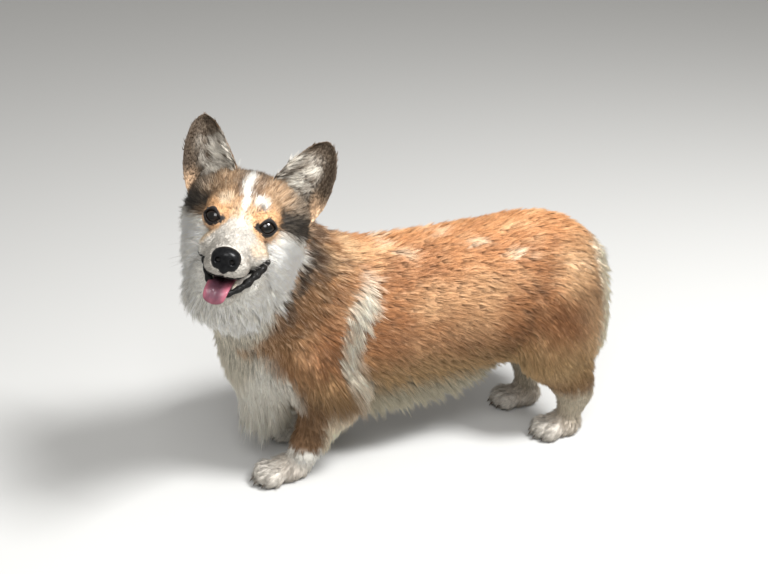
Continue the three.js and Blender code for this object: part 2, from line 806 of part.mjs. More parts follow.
const torsoCore = cutClear(torsoForm, neckCore, ...legs.map(({ whole }) => whole), tailForm);
const torsoLocks = [...bibLocks, ...bellyLocks, ...saddleLocks];
const torso = withLocks(torsoCore, torsoLocks, neckCore, tailForm, ...legNodes.flat());
const neck = withLocks(
  neckCore,
  ruffLocks,
  placed(headSolid),
  ...besideNeck,
  torso,
  ...legNodes.map(([top]) => top),
);
addNode("tail", tailForm, redCoat);
addNode("torso", torso, redCoat);
addNode("neck", neck, sableCoat);

// The origin is on the floor, below the middle of the whole.
dog.updateMatrixWorld(true);
const reach = new THREE.Box3().setFromObject(dog, true);
dog.position.set(-(reach.min.x + reach.max.x) / 2, -(reach.min.y + reach.max.y) / 2, 0);

export default dog;
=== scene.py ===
import json
import math

import bmesh
import bpy
import numpy as np
from mathutils import Matrix, Vector, noise
from mathutils.kdtree import KDTree

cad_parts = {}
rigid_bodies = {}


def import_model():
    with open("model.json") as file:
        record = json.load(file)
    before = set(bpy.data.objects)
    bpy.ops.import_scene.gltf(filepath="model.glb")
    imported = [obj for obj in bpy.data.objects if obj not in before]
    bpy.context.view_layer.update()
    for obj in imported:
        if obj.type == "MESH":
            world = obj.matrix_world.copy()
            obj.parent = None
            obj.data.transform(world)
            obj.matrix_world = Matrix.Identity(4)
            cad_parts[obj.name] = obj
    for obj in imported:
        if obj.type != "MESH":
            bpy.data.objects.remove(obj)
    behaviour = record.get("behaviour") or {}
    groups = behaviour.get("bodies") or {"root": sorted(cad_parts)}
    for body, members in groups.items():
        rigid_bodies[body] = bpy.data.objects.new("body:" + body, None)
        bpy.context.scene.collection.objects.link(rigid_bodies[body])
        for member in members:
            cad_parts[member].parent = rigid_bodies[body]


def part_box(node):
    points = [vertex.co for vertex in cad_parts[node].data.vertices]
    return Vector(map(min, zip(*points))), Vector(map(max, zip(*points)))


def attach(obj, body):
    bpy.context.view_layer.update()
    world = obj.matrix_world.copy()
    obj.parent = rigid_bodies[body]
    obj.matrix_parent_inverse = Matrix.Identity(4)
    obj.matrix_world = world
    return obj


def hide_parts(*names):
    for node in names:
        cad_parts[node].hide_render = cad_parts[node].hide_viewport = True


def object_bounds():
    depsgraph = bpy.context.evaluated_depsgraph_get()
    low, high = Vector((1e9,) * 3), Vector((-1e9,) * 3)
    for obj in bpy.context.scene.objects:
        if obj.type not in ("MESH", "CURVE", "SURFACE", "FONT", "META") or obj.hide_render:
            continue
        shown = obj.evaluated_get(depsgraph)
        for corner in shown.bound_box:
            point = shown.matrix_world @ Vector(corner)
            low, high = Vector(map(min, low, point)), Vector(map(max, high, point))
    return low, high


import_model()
solids_box = [list(corner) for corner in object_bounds()]

# Camera
# It stands off the dog's left shoulder, well above its head, and looks down on the whole dog. Its place was
# worked out from the photo, together with the sizes of body and head.
camera_azimuth = math.radians(72.68)
camera_elevation = math.radians(22.41)
camera_distance = 1.52693
camera_target = Vector((-0.08333, -0.00786, 0.20672))
camera_back = Vector((
    math.sin(camera_azimuth) * math.cos(camera_elevation),
    -math.cos(camera_azimuth) * math.cos(camera_elevation),
    math.sin(camera_elevation),
))
camera_data = bpy.data.cameras.new("camera")
camera_data.sensor_fit = "HORIZONTAL"
camera_data.sensor_width = 36
camera_data.lens = 56.17
camera = bpy.data.objects.new("camera", camera_data)
camera.location = camera_target + camera_back * camera_distance
camera.rotation_euler = camera_back.to_track_quat("Z", "Y").to_euler()
bpy.context.scene.collection.objects.link(camera)
bpy.context.scene.camera = camera

# Skin
# The hide under the coat, one closed surface from the lips to the toes. It lies inside the dog's outline by
# the depth of the coat, which differs from place to place, and it holds the lids, the mouth and the toes.
# Fields for its forms are blended, and a net of points is laid on the result.
withers_height = 0.3
head_length = 0.18
origin_shift = np.array((-0.05306, 0.01404, 0))
head_centre = np.array((0.096, -0.222, 0.35)) + origin_shift
head_turn = np.array(
    Matrix.Rotation(math.radians(73.5), 3, "Z")
    @ Matrix.Rotation(math.radians(-17.1), 3, "X")
    @ Matrix.Rotation(math.radians(13), 3, "Y")
)
skin_cell = 0.0042


def body_span(side, back, up):
    return np.array((side, back, up)) * withers_height / 100


def body(side, back, up):
    return body_span(side, back, up) + origin_shift


def face_span(side, front, up):
    return np.array((side, front, up)) * head_length / 100


def face(side, front, up):
    return np.array((side, -front, up)) * head_length / 100


def to_head(points):
    return (points - head_centre) @ head_turn


def in_body(points):
    return points @ head_turn.T + head_centre


def both_sides(make):
    return [make(1), make(-1)]


def smooth_step(low, high, values):
    t = np.clip((values - low) / (high - low), 0, 1)
    return t * t * (3 - 2 * t)


def mixed(a, b, share):
    return a + (b - a) * share


# A field tells how far points lie outside a form, and is negative inside it.
def egg(centre, radii, turn=0):
    turned = np.array(Matrix.Rotation(math.radians(turn), 3, "Z"))

    def field(points):
        q = (points - centre) @ turned
        reach = np.linalg.norm(q / radii, axis=1)
        slope = np.linalg.norm(q / radii**2, axis=1)
        return reach * (reach - 1) / np.maximum(slope, 1e-6)

    return field


def limb(start, start_radius, end, end_radius):
    along = end - start

    def field(points):
        share = np.clip((points - start) @ along / (along @ along), 0, 1)
        nearest = start + share[:, None] * along
        return np.linalg.norm(points - nearest, axis=1) - mixed(start_radius, end_radius, share)

    return field


def smooth_union(reach, a, b):
    h = np.maximum(reach - np.abs(a - b), 0) / reach
    return np.minimum(a, b) - h * h * reach / 4


def blend(reach, *fields):
    def field(points):
        total = fields[0](points)
        for other in fields[1:]:
            total = smooth_union(reach, total, other(points))
        return total

    return field


def under(depth, form):
    return lambda points: form(points) + depth


# Head, in its own frame: skull, brows, temples, cheeks and muzzle
skull_form = blend(
    0.015,
    under(0.004, egg(face(0, -5, 8), face_span(29, 34, 27))),
    *both_sides(lambda s: under(0.0025, egg(face(s * 11, 20, 12), face_span(11, 9, 8)))),
    *both_sides(lambda s: under(0.005, egg(face(s * 25, -6, 6), face_span(13.5, 18, 17)))),
    *both_sides(lambda s: under(0.008, egg(face(s * 21.5, -2, -12), face_span(13.5, 20, 20)))),
    under(0.0018, limb(face(0, 24, -6), 0.148 * head_length, face(0, 55.4, -15), 0.097 * head_length)),
    *both_sides(lambda s: under(0.0012, egg(face(s * 5.6, 51, -18.8), face_span(7.2, 12.5, 6.4)))),
    *both_sides(lambda s: under(0.002, egg(face(s * 12.5, 30, -13), face_span(9, 12, 9)))),
)

eye_radius = 0.064 * head_length
lid_thickness = 0.012 * head_length


class EyePlace:
    """Where an eye sits in the head, and the almond opening between its lids, seen along its gaze."""

    def __init__(self, sign):
        self.sign = sign
        self.centre = face(sign * 14.8, 23.6, 4.6)
        gaze = np.array((sign * 0.36, -1, 0.08))
        self.gaze = gaze / np.linalg.norm(gaze)
        left = np.cross((0, 0, 1), self.gaze)
        self.left = left / np.linalg.norm(left)
        self.above = np.cross(self.gaze, self.left)
        self.corner = 0.84 * eye_radius
        self.slant = 0.1 * eye_radius * sign

    def edge(self, t, rise):
        return self.slant * (2 * t - 1) + 2 * rise * eye_radius * t * (1 - t)

    def inside(self, points):
        """How far points lie inside the opening, and below zero outside it."""
        q = points - self.centre
        t = np.clip((q @ self.left / self.corner + 1) / 2, 0, 1)
        beyond = np.maximum(np.abs(q @ self.left) - self.corner, 0)
        up = q @ self.above
        within = np.minimum(self.edge(t, 1.3) - up, up - self.edge(t, -1.2)) - beyond
        return np.where(q @ self.gaze > 0, within, -eye_radius)

    def rim(self, t, rise, radius):
        """A point of the lid's edge, on a ball of that radius."""
        across = self.corner * (2 * t - 1)
        up = self.edge(t, rise)
        forward = math.sqrt(max(radius**2 - across**2 - up**2, 0))
        return self.centre + across * self.left + up * self.above + forward * self.gaze


eye_places = both_sides(EyePlace)


def with_lids(points, around):
    for eye in eye_places:
        reach = np.linalg.norm(points - eye.centre, axis=1)
        socket = eye_radius - 0.001 - reach
        around = -smooth_union(0.001, -around, -socket)
        opening = smooth_step(-0.0006, 0.0006, eye.inside(points))
        lid = reach - eye_radius - mixed(lid_thickness, -0.0012, opening)
        around = smooth_union(0.004, around, lid)
    return around


# Mouth: the lines of the palate and of the jaw's bed, as places along the head
palate_line = np.array(((27, -14.5), (44, -22.6), (60, -25), (80, -27)))
jaw_line = np.array(((27, -14.5), (45, -28.5), (52, -33.6), (80, -36)))


def above_line(points, line):
    """How far points lie above a line across the head."""
    front = -points[:, 1] / head_length * 100
    up = points[:, 2] / head_length * 100
    return (up - np.interp(front, line[:, 0], line[:, 1])) * head_length / 100


def behind_mouth(points):
    return points[:, 1] + 26.5 * head_length / 100


lip_places = np.array((
    (21.8, 30.5, -13.4), (20.2, 34, -15.8), (18.2, 38.5, -19.6), (15.6, 43.2, -23.2),
    (12.6, 47, -27.6), (9, 50.4, -31.2), (4.4, 53, -34.4), (0, 53.6, -35.4),
))
lip_shares = (0.009, 0.018, 0.025, 0.022, 0.023, 0.018, 0.019, 0.017)
lip_reach = {1: 1.0, -1: 0.74}


def chain(places, radii):
    """A row of limbs through the places."""
    ends = zip(places, radii, places[1:], radii[1:])
    rows = [limb(np.array(a), radius, np.array(b), next_radius) for a, radius, b, next_radius in ends]
    return lambda points: np.min([row(points) for row in rows], axis=0)


def curve_point(points, t):
    """A point of a smooth curve through the points. Below 0 the curve goes straight on."""
    last = len(points) - 1
    i = min(max(int(t * last), 0), last - 1)
    u = t * last - i
    a, b = points[i], points[i + 1]
    before = points[i - 1] if i > 0 else 2 * a - b
    after = points[i + 2] if i + 2 <= last else 2 * b - a
    leave, arrive = (b - before) / 2, (after - a) / 2
    if u < 0:
        return a + leave * u
    weights = (2 * u**3 - 3 * u**2 + 1, u**3 - 2 * u**2 + u, 3 * u**2 - 2 * u**3, u**3 - u**2)
    return weights[0] * a + weights[1] * leave + weights[2] * b + weights[3] * arrive


def lip_path(s, steps=20):
    """The lower lip's places and radii on one side, from the mouth's corner to the middle of the chin."""
    places = [face(s * x * lip_reach[s], front, up) for x, front, up in lip_places]
    shares = np.linspace(0, 1, steps)
    radii = np.interp(shares, np.linspace(0, 1, len(lip_shares)), lip_shares) * head_length
    return np.array([curve_point(places, t) for t in shares]), radii


lower_lips = both_sides(lambda s: chain(*lip_path(s)))


def mouth_hollow(q):
    """The room between palate and tongue, as wide as the lips' line."""
    front = -q[:, 1] / head_length * 100
    reach = np.where(q[:, 0] > 0, lip_reach[1], lip_reach[-1])
    half = np.interp(front, lip_places[:, 1], lip_places[:, 0]) * reach * head_length / 100
    aside = np.abs(q[:, 0]) - half
    tall = np.maximum(above_line(q, palate_line), -above_line(q, jaw_line))
    return np.maximum(np.maximum(aside, tall), behind_mouth(q))


jaw_form = blend(
    0.01,
    under(0.0025, limb(face(0, 14, -29), 0.14 * head_length, face(0, 44, -37.6), 0.068 * head_length)),
    *both_sides(lambda s: under(0.0025, egg(face(s * 11, 24, -27), face_span(9.5, 14, 12)))),
    under(0.0025, egg(face(0, 46, -37.2), face_span(8.6, 7, 5))),
)


def head_form(points):
    q = to_head(points)
    palate = np.minimum(-above_line(q, palate_line), -behind_mouth(q))
    bed = np.minimum(above_line(q, jaw_line), -behind_mouth(q))
    upper = -smooth_union(0.003, -skull_form(q), -palate)
    lower = -smooth_union(0.003, -jaw_form(q), -bed)
    return with_lids(q, smooth_union(0.003, upper, lower))


nape = in_body(face(0, -24, 0))
throat = in_body(face(0, -2, -30))
neck_form = under(
    0.008,
    blend(
        0.03,
        limb(body(3, -34, 72), 0.225 * withers_height, nape, 0.17 * withers_height),
        limb(body(2, -56, 60), 0.22 * withers_height, throat, 0.165 * withers_height),
        egg(in_body(face(-4, 6, -43)), body_span(13.5, 13.5, 10)),
    ),
)
torso_form = under(
    0.008,
    blend(
        0.034,
        egg(body(0, -22, 63), body_span(33.5, 54, 34.5)),
        egg(body(0, 26, 66), body_span(31.5, 52, 33)),
        egg(body(0, 57, 69.5), body_span(30, 33, 31)),
        egg(body(0, -61, 53), body_span(22, 18, 27)),
        egg(body(0, -8, 37), body_span(18, 42, 12.5)),
    ),
)
tail_form = under(
    0.005,
    limb(body(0, 81, 78), 0.045 * withers_height, body(0, 87.6, 70.5), 0.032 * withers_height),
)

# Legs: from shoulder or hip to the toes
wrist_backs = {1: -49.3, -1: -35}
hock_backs = {1: 70.6, -1: 64.5}
toe_spots = ((-5.2, -6.6), (-1.8, -8.8), (1.8, -8.8), (5.2, -6.6))


def paw_form(centre, turn):
    turned = np.array(Matrix.Rotation(math.radians(turn), 3, "Z"))

    def spot(side, back, up):
        return body_span(side, back, up) @ turned.T + centre

    toes = [egg(spot(x, y, 3.9), body_span(2.9, 4.8, 4.3), turn) for x, y in toe_spots]
    return under(0.002, blend(0.004, egg(spot(0, 1, 4.6), body_span(7, 9.6, 5.8), turn), *toes))


def share_limb(start, start_share, end, end_share):
    return limb(start, start_share * withers_height, end, end_share * withers_height)


def foreleg_form(s):
    back = wrist_backs[s]
    shoulder = body(s * 20, -50, 56)
    elbow = body(s * 22, -40, 38)
    wrist = body(s * 17.6, back, 14.5)
    knuckles = body(s * 16.8, back - 4, 5.5)
    return blend(
        0.018,
        under(0.007, share_limb(shoulder, 0.165, elbow, 0.13)),
        under(0.004, share_limb(elbow, 0.12, wrist, 0.068)),
        under(0.003, share_limb(wrist, 0.066, knuckles, 0.06)),
    )


def hindleg_form(s):
    back = hock_backs[s]
    hip = body(s * 13.5, 60, 65)
    stifle = body(s * 20.5, 56, 43)
    shank = body(s * 20, back - 3, 29)
    hock = body(s * 17.6, back + 1, 22)
    knuckles = body(s * 16, back - 1.5, 6)
    return blend(
        0.024,
        under(0.008, share_limb(hip, 0.21, stifle, 0.125)),
        under(0.008, egg(body(s * 17, 67, 52), body_span(13, 18, 22))),
        under(0.006, share_limb(stifle, 0.115, shank, 0.085)),
        under(0.0035, share_limb(shank, 0.083, hock, 0.068)),
        under(0.003, share_limb(hock, 0.062, knuckles, 0.058)),
    )


forelegs = both_sides(foreleg_form)
hindlegs = both_sides(hindleg_form)
fore_paws = both_sides(lambda s: paw_form(body(s * 16.6, wrist_backs[s] - 9.4, 0), s * 9))
hind_paws = both_sides(lambda s: paw_form(body(s * 15.6, hock_backs[s] - 4.4, 0), s * 6))
part_forms = {
    "head": (head_form, ("head", "lower_jaw")),
    "neck": (neck_form, ("neck",)),
    "torso": (torso_form, ("torso",)),
    "tail": (tail_form, ("tail",)),
}
for i, side in enumerate(("left", "right")):
    part_forms[side + "_foreleg"] = (forelegs[i], (side + "_upper_arm", side + "_forearm"))
    part_forms[side + "_hindleg"] = (hindlegs[i], (side + "_thigh", side + "_hock"))
    part_forms[side + "_fore_paw"] = (fore_paws[i], (side + "_fore_paw",))
    part_forms[side + "_hind_paw"] = (hind_paws[i], (side + "_hind_paw",))


def near_nodes(form, nodes):
    """The same field, worked out only round its own nodes; further off it gives the way to their box."""
    boxes = [np.array(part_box(node)) for node in nodes]
    low = np.min([box[0] for box in boxes], axis=0)
    high = np.max([box[1] for box in boxes], axis=0)
    margin = 0.035

    def field(points):
        values = np.maximum(low - points, points - high).max(axis=1)
        near = values < margin
        if near.any():
            values[near] = form(points[near])
        return values

    return field


part_forms = {name: near_nodes(*made) for name, made in part_forms.items()}


def skin_form(points):
    far = {name: form(points) for name, form in part_forms.items()}
    whole = smooth_union(0.03, far["torso"], far["neck"])
    whole = smooth_union(0.01, whole, far["tail"])
    for side in ("left", "right"):
        fore = smooth_union(0.008, far[side + "_foreleg"], far[side + "_fore_paw"])
        hind = smooth_union(0.008, far[side + "_hindleg"], far[side + "_hind_paw"])
        whole = smooth_union(0.02, whole, smooth_union(0.01, fore, hind))
    whole = smooth_union(0.022, whole, far["head"])
    near = far["head"] < 0.03
    if near.any():
        q = to_head(points[near])
        whole[near] = -smooth_union(0.002, -whole[near], mouth_hollow(q))
    return -smooth_union(0.002, -whole, points[:, 2] - 0.0006)


def slopes(form, points, here, step=0.0003):
    """The field's slope at each point, by a small step along each axis."""
    return np.stack([(form(points + axis) - here) / step for axis in np.eye(3) * step], axis=1)


def laid_on(form, points, rounds=2):
    longest_move = 0.003
    for _ in range(rounds):
        here = form(points)
        slope = slopes(form, points, here)
        step = (here / np.maximum((slope**2).sum(axis=1), 0.25))[:, None] * slope
        far = np.linalg.norm(step, axis=1, keepdims=True)
        points = points - step * np.minimum(1, longest_move / np.maximum(far, 1e-9))
    return points


def net_over(form, low, high, cell):
    """A closed net of quads where the field is zero, worked out only in blocks that it crosses."""
    block = 4
    sizes = np.ceil((np.array(high) - low) / (cell * block)).astype(int) * block + 1
    axes = [low[k] + np.arange(sizes[k]) * cell for k in range(3)]
    coarse_axes = [axis[::block] for axis in axes]
    grid = np.stack(np.meshgrid(*coarse_axes, indexing="ij"), axis=-1)
    coarse = form(grid.reshape(-1, 3)).reshape(grid.shape[:3])
    nearest = [
        np.minimum((np.arange(size) + block // 2) // block, len(axis) - 1)
        for size, axis in zip(sizes, coarse_axes)
    ]
    values = coarse[np.ix_(*nearest)]
    close = np.nonzero(np.abs(values) < cell * block * 1.2)
    values[close] = form(np.stack([axes[k][close[k]] for k in range(3)], axis=1))
    inside = values < 0
    totals, quads = {}, []
    for axis in range(3):
        here = [slice(None)] * 3
        there = [slice(None)] * 3
        here[axis], there[axis] = slice(None, -1), slice(1, None)
        a, b = values[tuple(here)], values[tuple(there)]
        crossed = np.stack(np.nonzero(inside[tuple(here)] != inside[tuple(there)]), axis=1)
        from_value = a[tuple(crossed.T)]
        to_value = b[tuple(crossed.T)]
        spots = crossed.astype(float)
        spots[:, axis] += from_value / (from_value - to_value)
        second, third = np.eye(3, dtype=int)[(axis + 1) % 3], np.eye(3, dtype=int)[(axis + 2) % 3]
        corners = np.stack([crossed - second - third, crossed - third, crossed, crossed - second], axis=1)
        corners[from_value > 0] = corners[from_value > 0][:, ::-1]
        quads.append(corners)
        totals[axis] = spots
    quads = np.concatenate(quads)
    spots = np.concatenate([totals[axis] for axis in range(3)])
    flat = np.ravel_multi_index(quads.reshape(-1, 3).T, values.shape)
    used, index = np.unique(flat, return_inverse=True)
    sums = np.zeros((len(used), 3))
    np.add.at(sums, index, np.repeat(spots, 4, axis=0))
    counts = np.bincount(index, minlength=len(used))
    points = np.array(low) + sums / counts[:, None] * cell
    return points, index.reshape(-1, 4)


def evened(points, faces, form, rounds):
    """Draws the net's points towards their neighbours and back onto the form."""
    edges = np.concatenate([faces[:, (k, (k + 1) % 4)] for k in range(4)])
    counts = np.bincount(edges[:, 0], minlength=len(points))[:, None]
    for _ in range(rounds):
        sums = np.zeros_like(points)
        np.add.at(sums, edges[:, 0], points[edges[:, 1]])
        points = laid_on(form, mixed(points, sums / counts, 0.6), 1)
    return points


def mesh_of(name, points, faces):
    mesh = bpy.data.meshes.new(name)
    mesh.from_pydata(points.tolist(), [], faces.tolist())
    mesh.update()
    return mesh


def points_of(mesh):
    flat = np.empty(len(mesh.vertices) * 3)
    mesh.vertices.foreach_get("co", flat)
    return flat.reshape(-1, 3)


def put_points(mesh, points):
    mesh.vertices.foreach_set("co", points.ravel())
    mesh.update()


def refine(mesh, wanted, form):
    """Splits the faces whose middle is wanted, and lays the new points on the form."""
    bm = bmesh.new()
    bm.from_mesh(mesh)
    middles = np.array([f.calc_center_median() for f in bm.faces])
    chosen = wanted(middles)
    edges = {e for f, yes in zip(bm.faces, chosen) if yes for e in f.edges}
    bmesh.ops.subdivide_edges(bm, edges=list(edges), cuts=1, use_grid_fill=True)
    bm.to_mesh(mesh)
    bm.free()
    points = points_of(mesh)
    changed = wanted(points)
    points[changed] = laid_on(form, points[changed])
    put_points(mesh, points)


def near_face(points):
    q = to_head(points)
    return (np.abs(q) < (0.075, 0.13, 0.09)).all(axis=1) & (q[:, 1] < 0.03)


def near_eyes_or_lips(points):
    q = to_head(points)
    near = [np.linalg.norm(q - eye.centre, axis=1) < 0.0185 for eye in eye_places]
    lips = (q[:, 1] < -0.045) & (np.abs(q[:, 0]) < 0.045) & (q[:, 2] < -0.02) & (q[:, 2] > -0.075)
    return near[0] | near[1] | lips


def near_lids(points):
    q = to_head(points)
    return np.min([np.linalg.norm(q - eye.centre, axis=1) for eye in eye_places], axis=0) < 1.26 * eye_radius


def near_paws(points):
    return points[:, 2] < 0.045


low_corner = np.array(solids_box[0]) - skin_cell * 2
high_corner = np.array(solids_box[1]) + skin_cell * 2
skin_points, skin_faces = net_over(skin_form, low_corner, high_corner, skin_cell)
skin_points = evened(skin_points, skin_faces, skin_form, 3)
skin_mesh = mesh_of("skin", skin_points, skin_faces)
for near_place in (near_face, near_eyes_or_lips, near_lids, near_paws):
    refine(skin_mesh, near_place, skin_form)
skin = bpy.data.objects.new("skin", skin_mesh)
bpy.context.scene.collection.objects.link(skin)

# Ears
# Upright cups of thin skin over gristle, open to the front. Each is lofted between an inner and an outer
# edge, from below its base to its tip, and joined to the head's hide.
ear_flare = {1: 1.04, -1: 0.985}
ear_inner_edge = ((11.5, 0, 33), (17, 3, 43), (25.6, 2, 54), (33, -1, 61.8))
ear_outer_edge = ((37, -10, 9), (43.5, -6, 23), (46, -2, 38), (45, 0, 51), (41.4, -1.6, 62.2))
ear_steps = np.concatenate([np.linspace(-0.15, 0.8, 22), 1 - 0.16 * np.linspace(1, 0, 12) ** 1.7])


def ear_sections(sign):
    """Rings of the ear from below its base to its tip: the inner face, then the back."""
    inner, outer = (
        [face(sign * side * ear_flare[sign], front, up) for side, front, up in edge]
        for edge in (ear_inner_edge, ear_outer_edge)
    )
    backwards = np.array((-sign * 0.3, 0.95, 0.1))
    backwards /= np.linalg.norm(backwards)
    rings = []
    for t in ear_steps:
        low, high = curve_point(inner, t), curve_point(outer, t)
        round_off = math.sqrt(1 - 0.99 * max(0, (t - 0.84) / 0.16) ** 2)
        middle, half = (low + high) / 2, (high - low) / 2 * round_off
        cup = head_length * (0.13 * (1 - max(t, 0)) ** 0.7 + 0.014) * round_off
        thick = head_length * mixed(0.022, 0.013, max(t, 0))
        shares = np.linspace(-1, 1, 17)
        arcs = np.sqrt(np.maximum(0, 1 - shares**2))
        back, front = [], []
        for share, arc in zip(shares, arcs):
            back.append(middle + half * share + backwards * (cup * arc + thick * (0.4 + 0.6 * arc)))
            front.append(middle + half * share * 0.97 + backwards * (cup * 0.92 * arc + 0.0006))
        rings.append(front[::-1] + back if sign > 0 else back[::-1] + front)
    return np.array(rings)


def loft(rings):
    """A closed net round the rings, with its first and last ring filled."""
    count, corners = rings.shape[:2]
    faces = []
    for i in range(count - 1):
        for j in range(corners):
            k = (j + 1) % corners
            faces.append((i * corners + j, i * corners + k, (i + 1) * corners + k, (i + 1) * corners + j))
    first = tuple(range(corners))[::-1]
    last = tuple((count - 1) * corners + j for j in range(corners))
    return rings.reshape(-1, 3), faces + [first, last]


def closed_mesh(name, points, faces):
    """A mesh whose faces all point outwards."""
    mesh = bpy.data.meshes.new(name)
    mesh.from_pydata([tuple(p) for p in points], [], faces)
    bm = bmesh.new()
    bm.from_mesh(mesh)
    bmesh.ops.remove_doubles(bm, verts=bm.verts, dist=1e-6)
    bmesh.ops.recalc_face_normals(bm, faces=bm.faces)
    bm.to_mesh(mesh)
    bm.free()
    return mesh


def ring_mesh(name, rings):
    """A closed mesh through rings that are given in the head's frame."""
    return closed_mesh(name, *loft(in_body(rings.reshape(-1, 3)).reshape(rings.shape)))


def link(name, mesh):
    made = bpy.data.objects.new(name, mesh)
    bpy.context.scene.collection.objects.link(made)
    return made


def as_plain_mesh(made):
    """Turns an object's modifiers into its mesh."""
    bpy.context.view_layer.update()
    seen = made.evaluated_get(bpy.context.evaluated_depsgraph_get())
    mesh = bpy.data.meshes.new_from_object(seen)
    made.modifiers.clear()
    made.data = mesh


ear_rings = {sign: ear_sections(sign) for sign in (1, -1)}
ear_parts = []
for rings in ear_rings.values():
    ear = link("ear_part", ring_mesh("ear_part", rings))
    joining = skin.modifiers.new("ear", "BOOLEAN")
    joining.operation = "UNION"
    joining.solver = "MANIFOLD"
    joining.object = ear
    ear_parts.append(ear)
as_plain_mesh(skin)
for ear in ear_parts:
    bpy.data.objects.remove(ear)

# Markings
# The colours of the hair: an orange-red body, white blaze, muzzle, cheeks, bib and feet, and grizzled black
# on the temples, the ears and behind the cheeks. Each mark is a soft-edged form laid over those before it.
# Some marks are painted light: pale painted highlights along the back, and painted shade in the creases, on
# the low flanks, belly, bib, throat and chin, on the lower legs and hocks, and under the eyes.
def srgb(red, green, blue):
    shares = np.array((red, green, blue)) / 255
    return np.where(shares <= 0.04045, shares / 12.92, ((shares + 0.055) / 1.055) ** 2.4)


red = srgb(196, 138, 90)
dark_red = srgb(142, 92, 56)
gold = srgb(233, 192, 146)
shaded_pale_tan = srgb(188, 158, 110)
cream = srgb(244, 226, 198)
white = srgb(250, 246, 236)
shaded_fringe_grey = srgb(182, 174, 152)
tan = srgb(224, 172, 122)
sable = srgb(66, 57, 50)
near_black = srgb(34, 29, 27)
brown = srgb(164, 122, 82)
ear_grey = srgb(120, 112, 104)


def cloud(points, size, seed):
    """Soft noise from -1 to 1, in patches of that size."""
    offset = Vector((seed * 7.31, seed * 3.17, seed * 5.53))
    return np.array([noise.noise(Vector(p) + offset) for p in points / size])


def within(values, soft):
    return 1 - smooth_step(-soft, soft, values)


class Hide:
    """The skin's points with all that the coat needs to know at each of them."""

    def __init__(self, mesh):
        self.points = points_of(mesh)
        flat = np.empty(len(mesh.vertices) * 3)
        mesh.vertices.foreach_get("normal", flat)
        self.normals = flat.reshape(-1, 3)
        self.local = to_head(self.points)
        self.percent = (self.points - origin_shift) / withers_height * 100
        self.head_percent = self.local / head_length * 100 * (1, -1, 1)
        self.far = {name: form(self.points) for name, form in part_forms.items()}


hide = Hide(skin.data)
side, back, up = hide.percent.T
head_side, head_front, head_up = hide.head_percent.T
flank = np.abs(side)

# Which part each point belongs to, with soft borders
first_ring = 3
ear_points = {sign: in_body(rings[first_ring:].reshape(-1, 3)) for sign, rings in ear_rings.items()}


def nearest_row(points, others):
    """How far the nearest of the other points is, and which it is."""
    tree = KDTree(len(others))
    for i, other in enumerate(others):
        tree.insert(other, i)
    tree.balance()
    found = [tree.find(p) for p in points]
    return np.array([f[2] for f in found]), np.array([f[1] for f in found])


near_head = hide.far["head"] < 0.08
ear_far = np.full(len(hide.points), 0.05)
ear_along = np.zeros(len(hide.points))
ear_inside = np.zeros(len(hide.points))
for sign, others in ear_points.items():
    far_off, index = nearest_row(hide.points[near_head], others)
    rows = near_head.nonzero()[0]
    closer = far_off < ear_far[rows]
    corners = ear_rings[sign].shape[1]
    ear_far[rows[closer]] = far_off[closer]
    ear_along[rows[closer]] = ear_steps[first_ring + index[closer] // corners]
    column = index[closer] % corners
    is_front = column < corners // 2 if sign > 0 else column >= corners // 2
    ear_inside[rows[closer]] = is_front
ear_inside *= smooth_step(0.3, 0.0, (hide.normals @ head_turn)[:, 1])
on_ear = within(ear_far - 0.004, 0.002) * (head_up > 8)
far_from_parts = np.stack([hide.far[name] for name in part_forms])
nearness = np.exp(-(far_from_parts - far_from_parts.min(axis=0)) / 0.006)
nearness /= nearness.sum(axis=0)
part = dict(zip(part_forms, nearness))
legs_fore = part["left_foreleg"] + part["right_foreleg"]
legs_hind = part["left_hindleg"] + part["right_hindleg"]
paws = sum(part[name] for name in part_forms if "paw" in name)

waver = np.stack([cloud(hide.points, 0.012, seed) for seed in (1, 2, 3)], axis=1)
wide_waver = np.stack([cloud(hide.points, 0.035, seed) for seed in (4, 5, 6)], axis=1)
marked = hide.points + waver * 0.004 + wide_waver * 0.006
marked_head = hide.local + waver * 0.0025

streaky = cloud(hide.points * (1, 0.45, 0.8), 0.022, 7)
patchy = cloud(hide.points * (1, 0.7, 1), 0.055, 8)
ones = np.ones((len(hide.points), 1))
coat_colour = red * ones


def mark(mask, colour):
    coat_colour[:] = mixed(coat_colour, colour, np.clip(mask, 0, 1)[:, None])


def body_egg(places, radii, soft=0.01):
    fields = [egg(body(*place), body_span(*radii)) for place in places]
    return within(np.min([field(marked) for field in fields], axis=0), soft)


def body_line(places, radius, soft=0.008):
    return within(chain([body(*place) for place in places], [radius] * len(places))(marked), soft)


def mirrored(places):
    return [(-s, b, u) for s, b, u in places]


def both_eggs(places, radii, soft):
    return body_egg(places + mirrored(places), radii, soft)


def both_lines(places, radius, soft=0.008):
    return np.maximum(body_line(places, radius, soft), body_line(mirrored(places), radius, soft))


def head_line(places, radius, soft=0.003):
    return within(chain([face(*place) for place in places], [radius] * len(places))(marked_head), soft)


def head_egg(place, radii, soft=0.006):
    return within(egg(face(*place), face_span(*radii))(marked_head), soft)


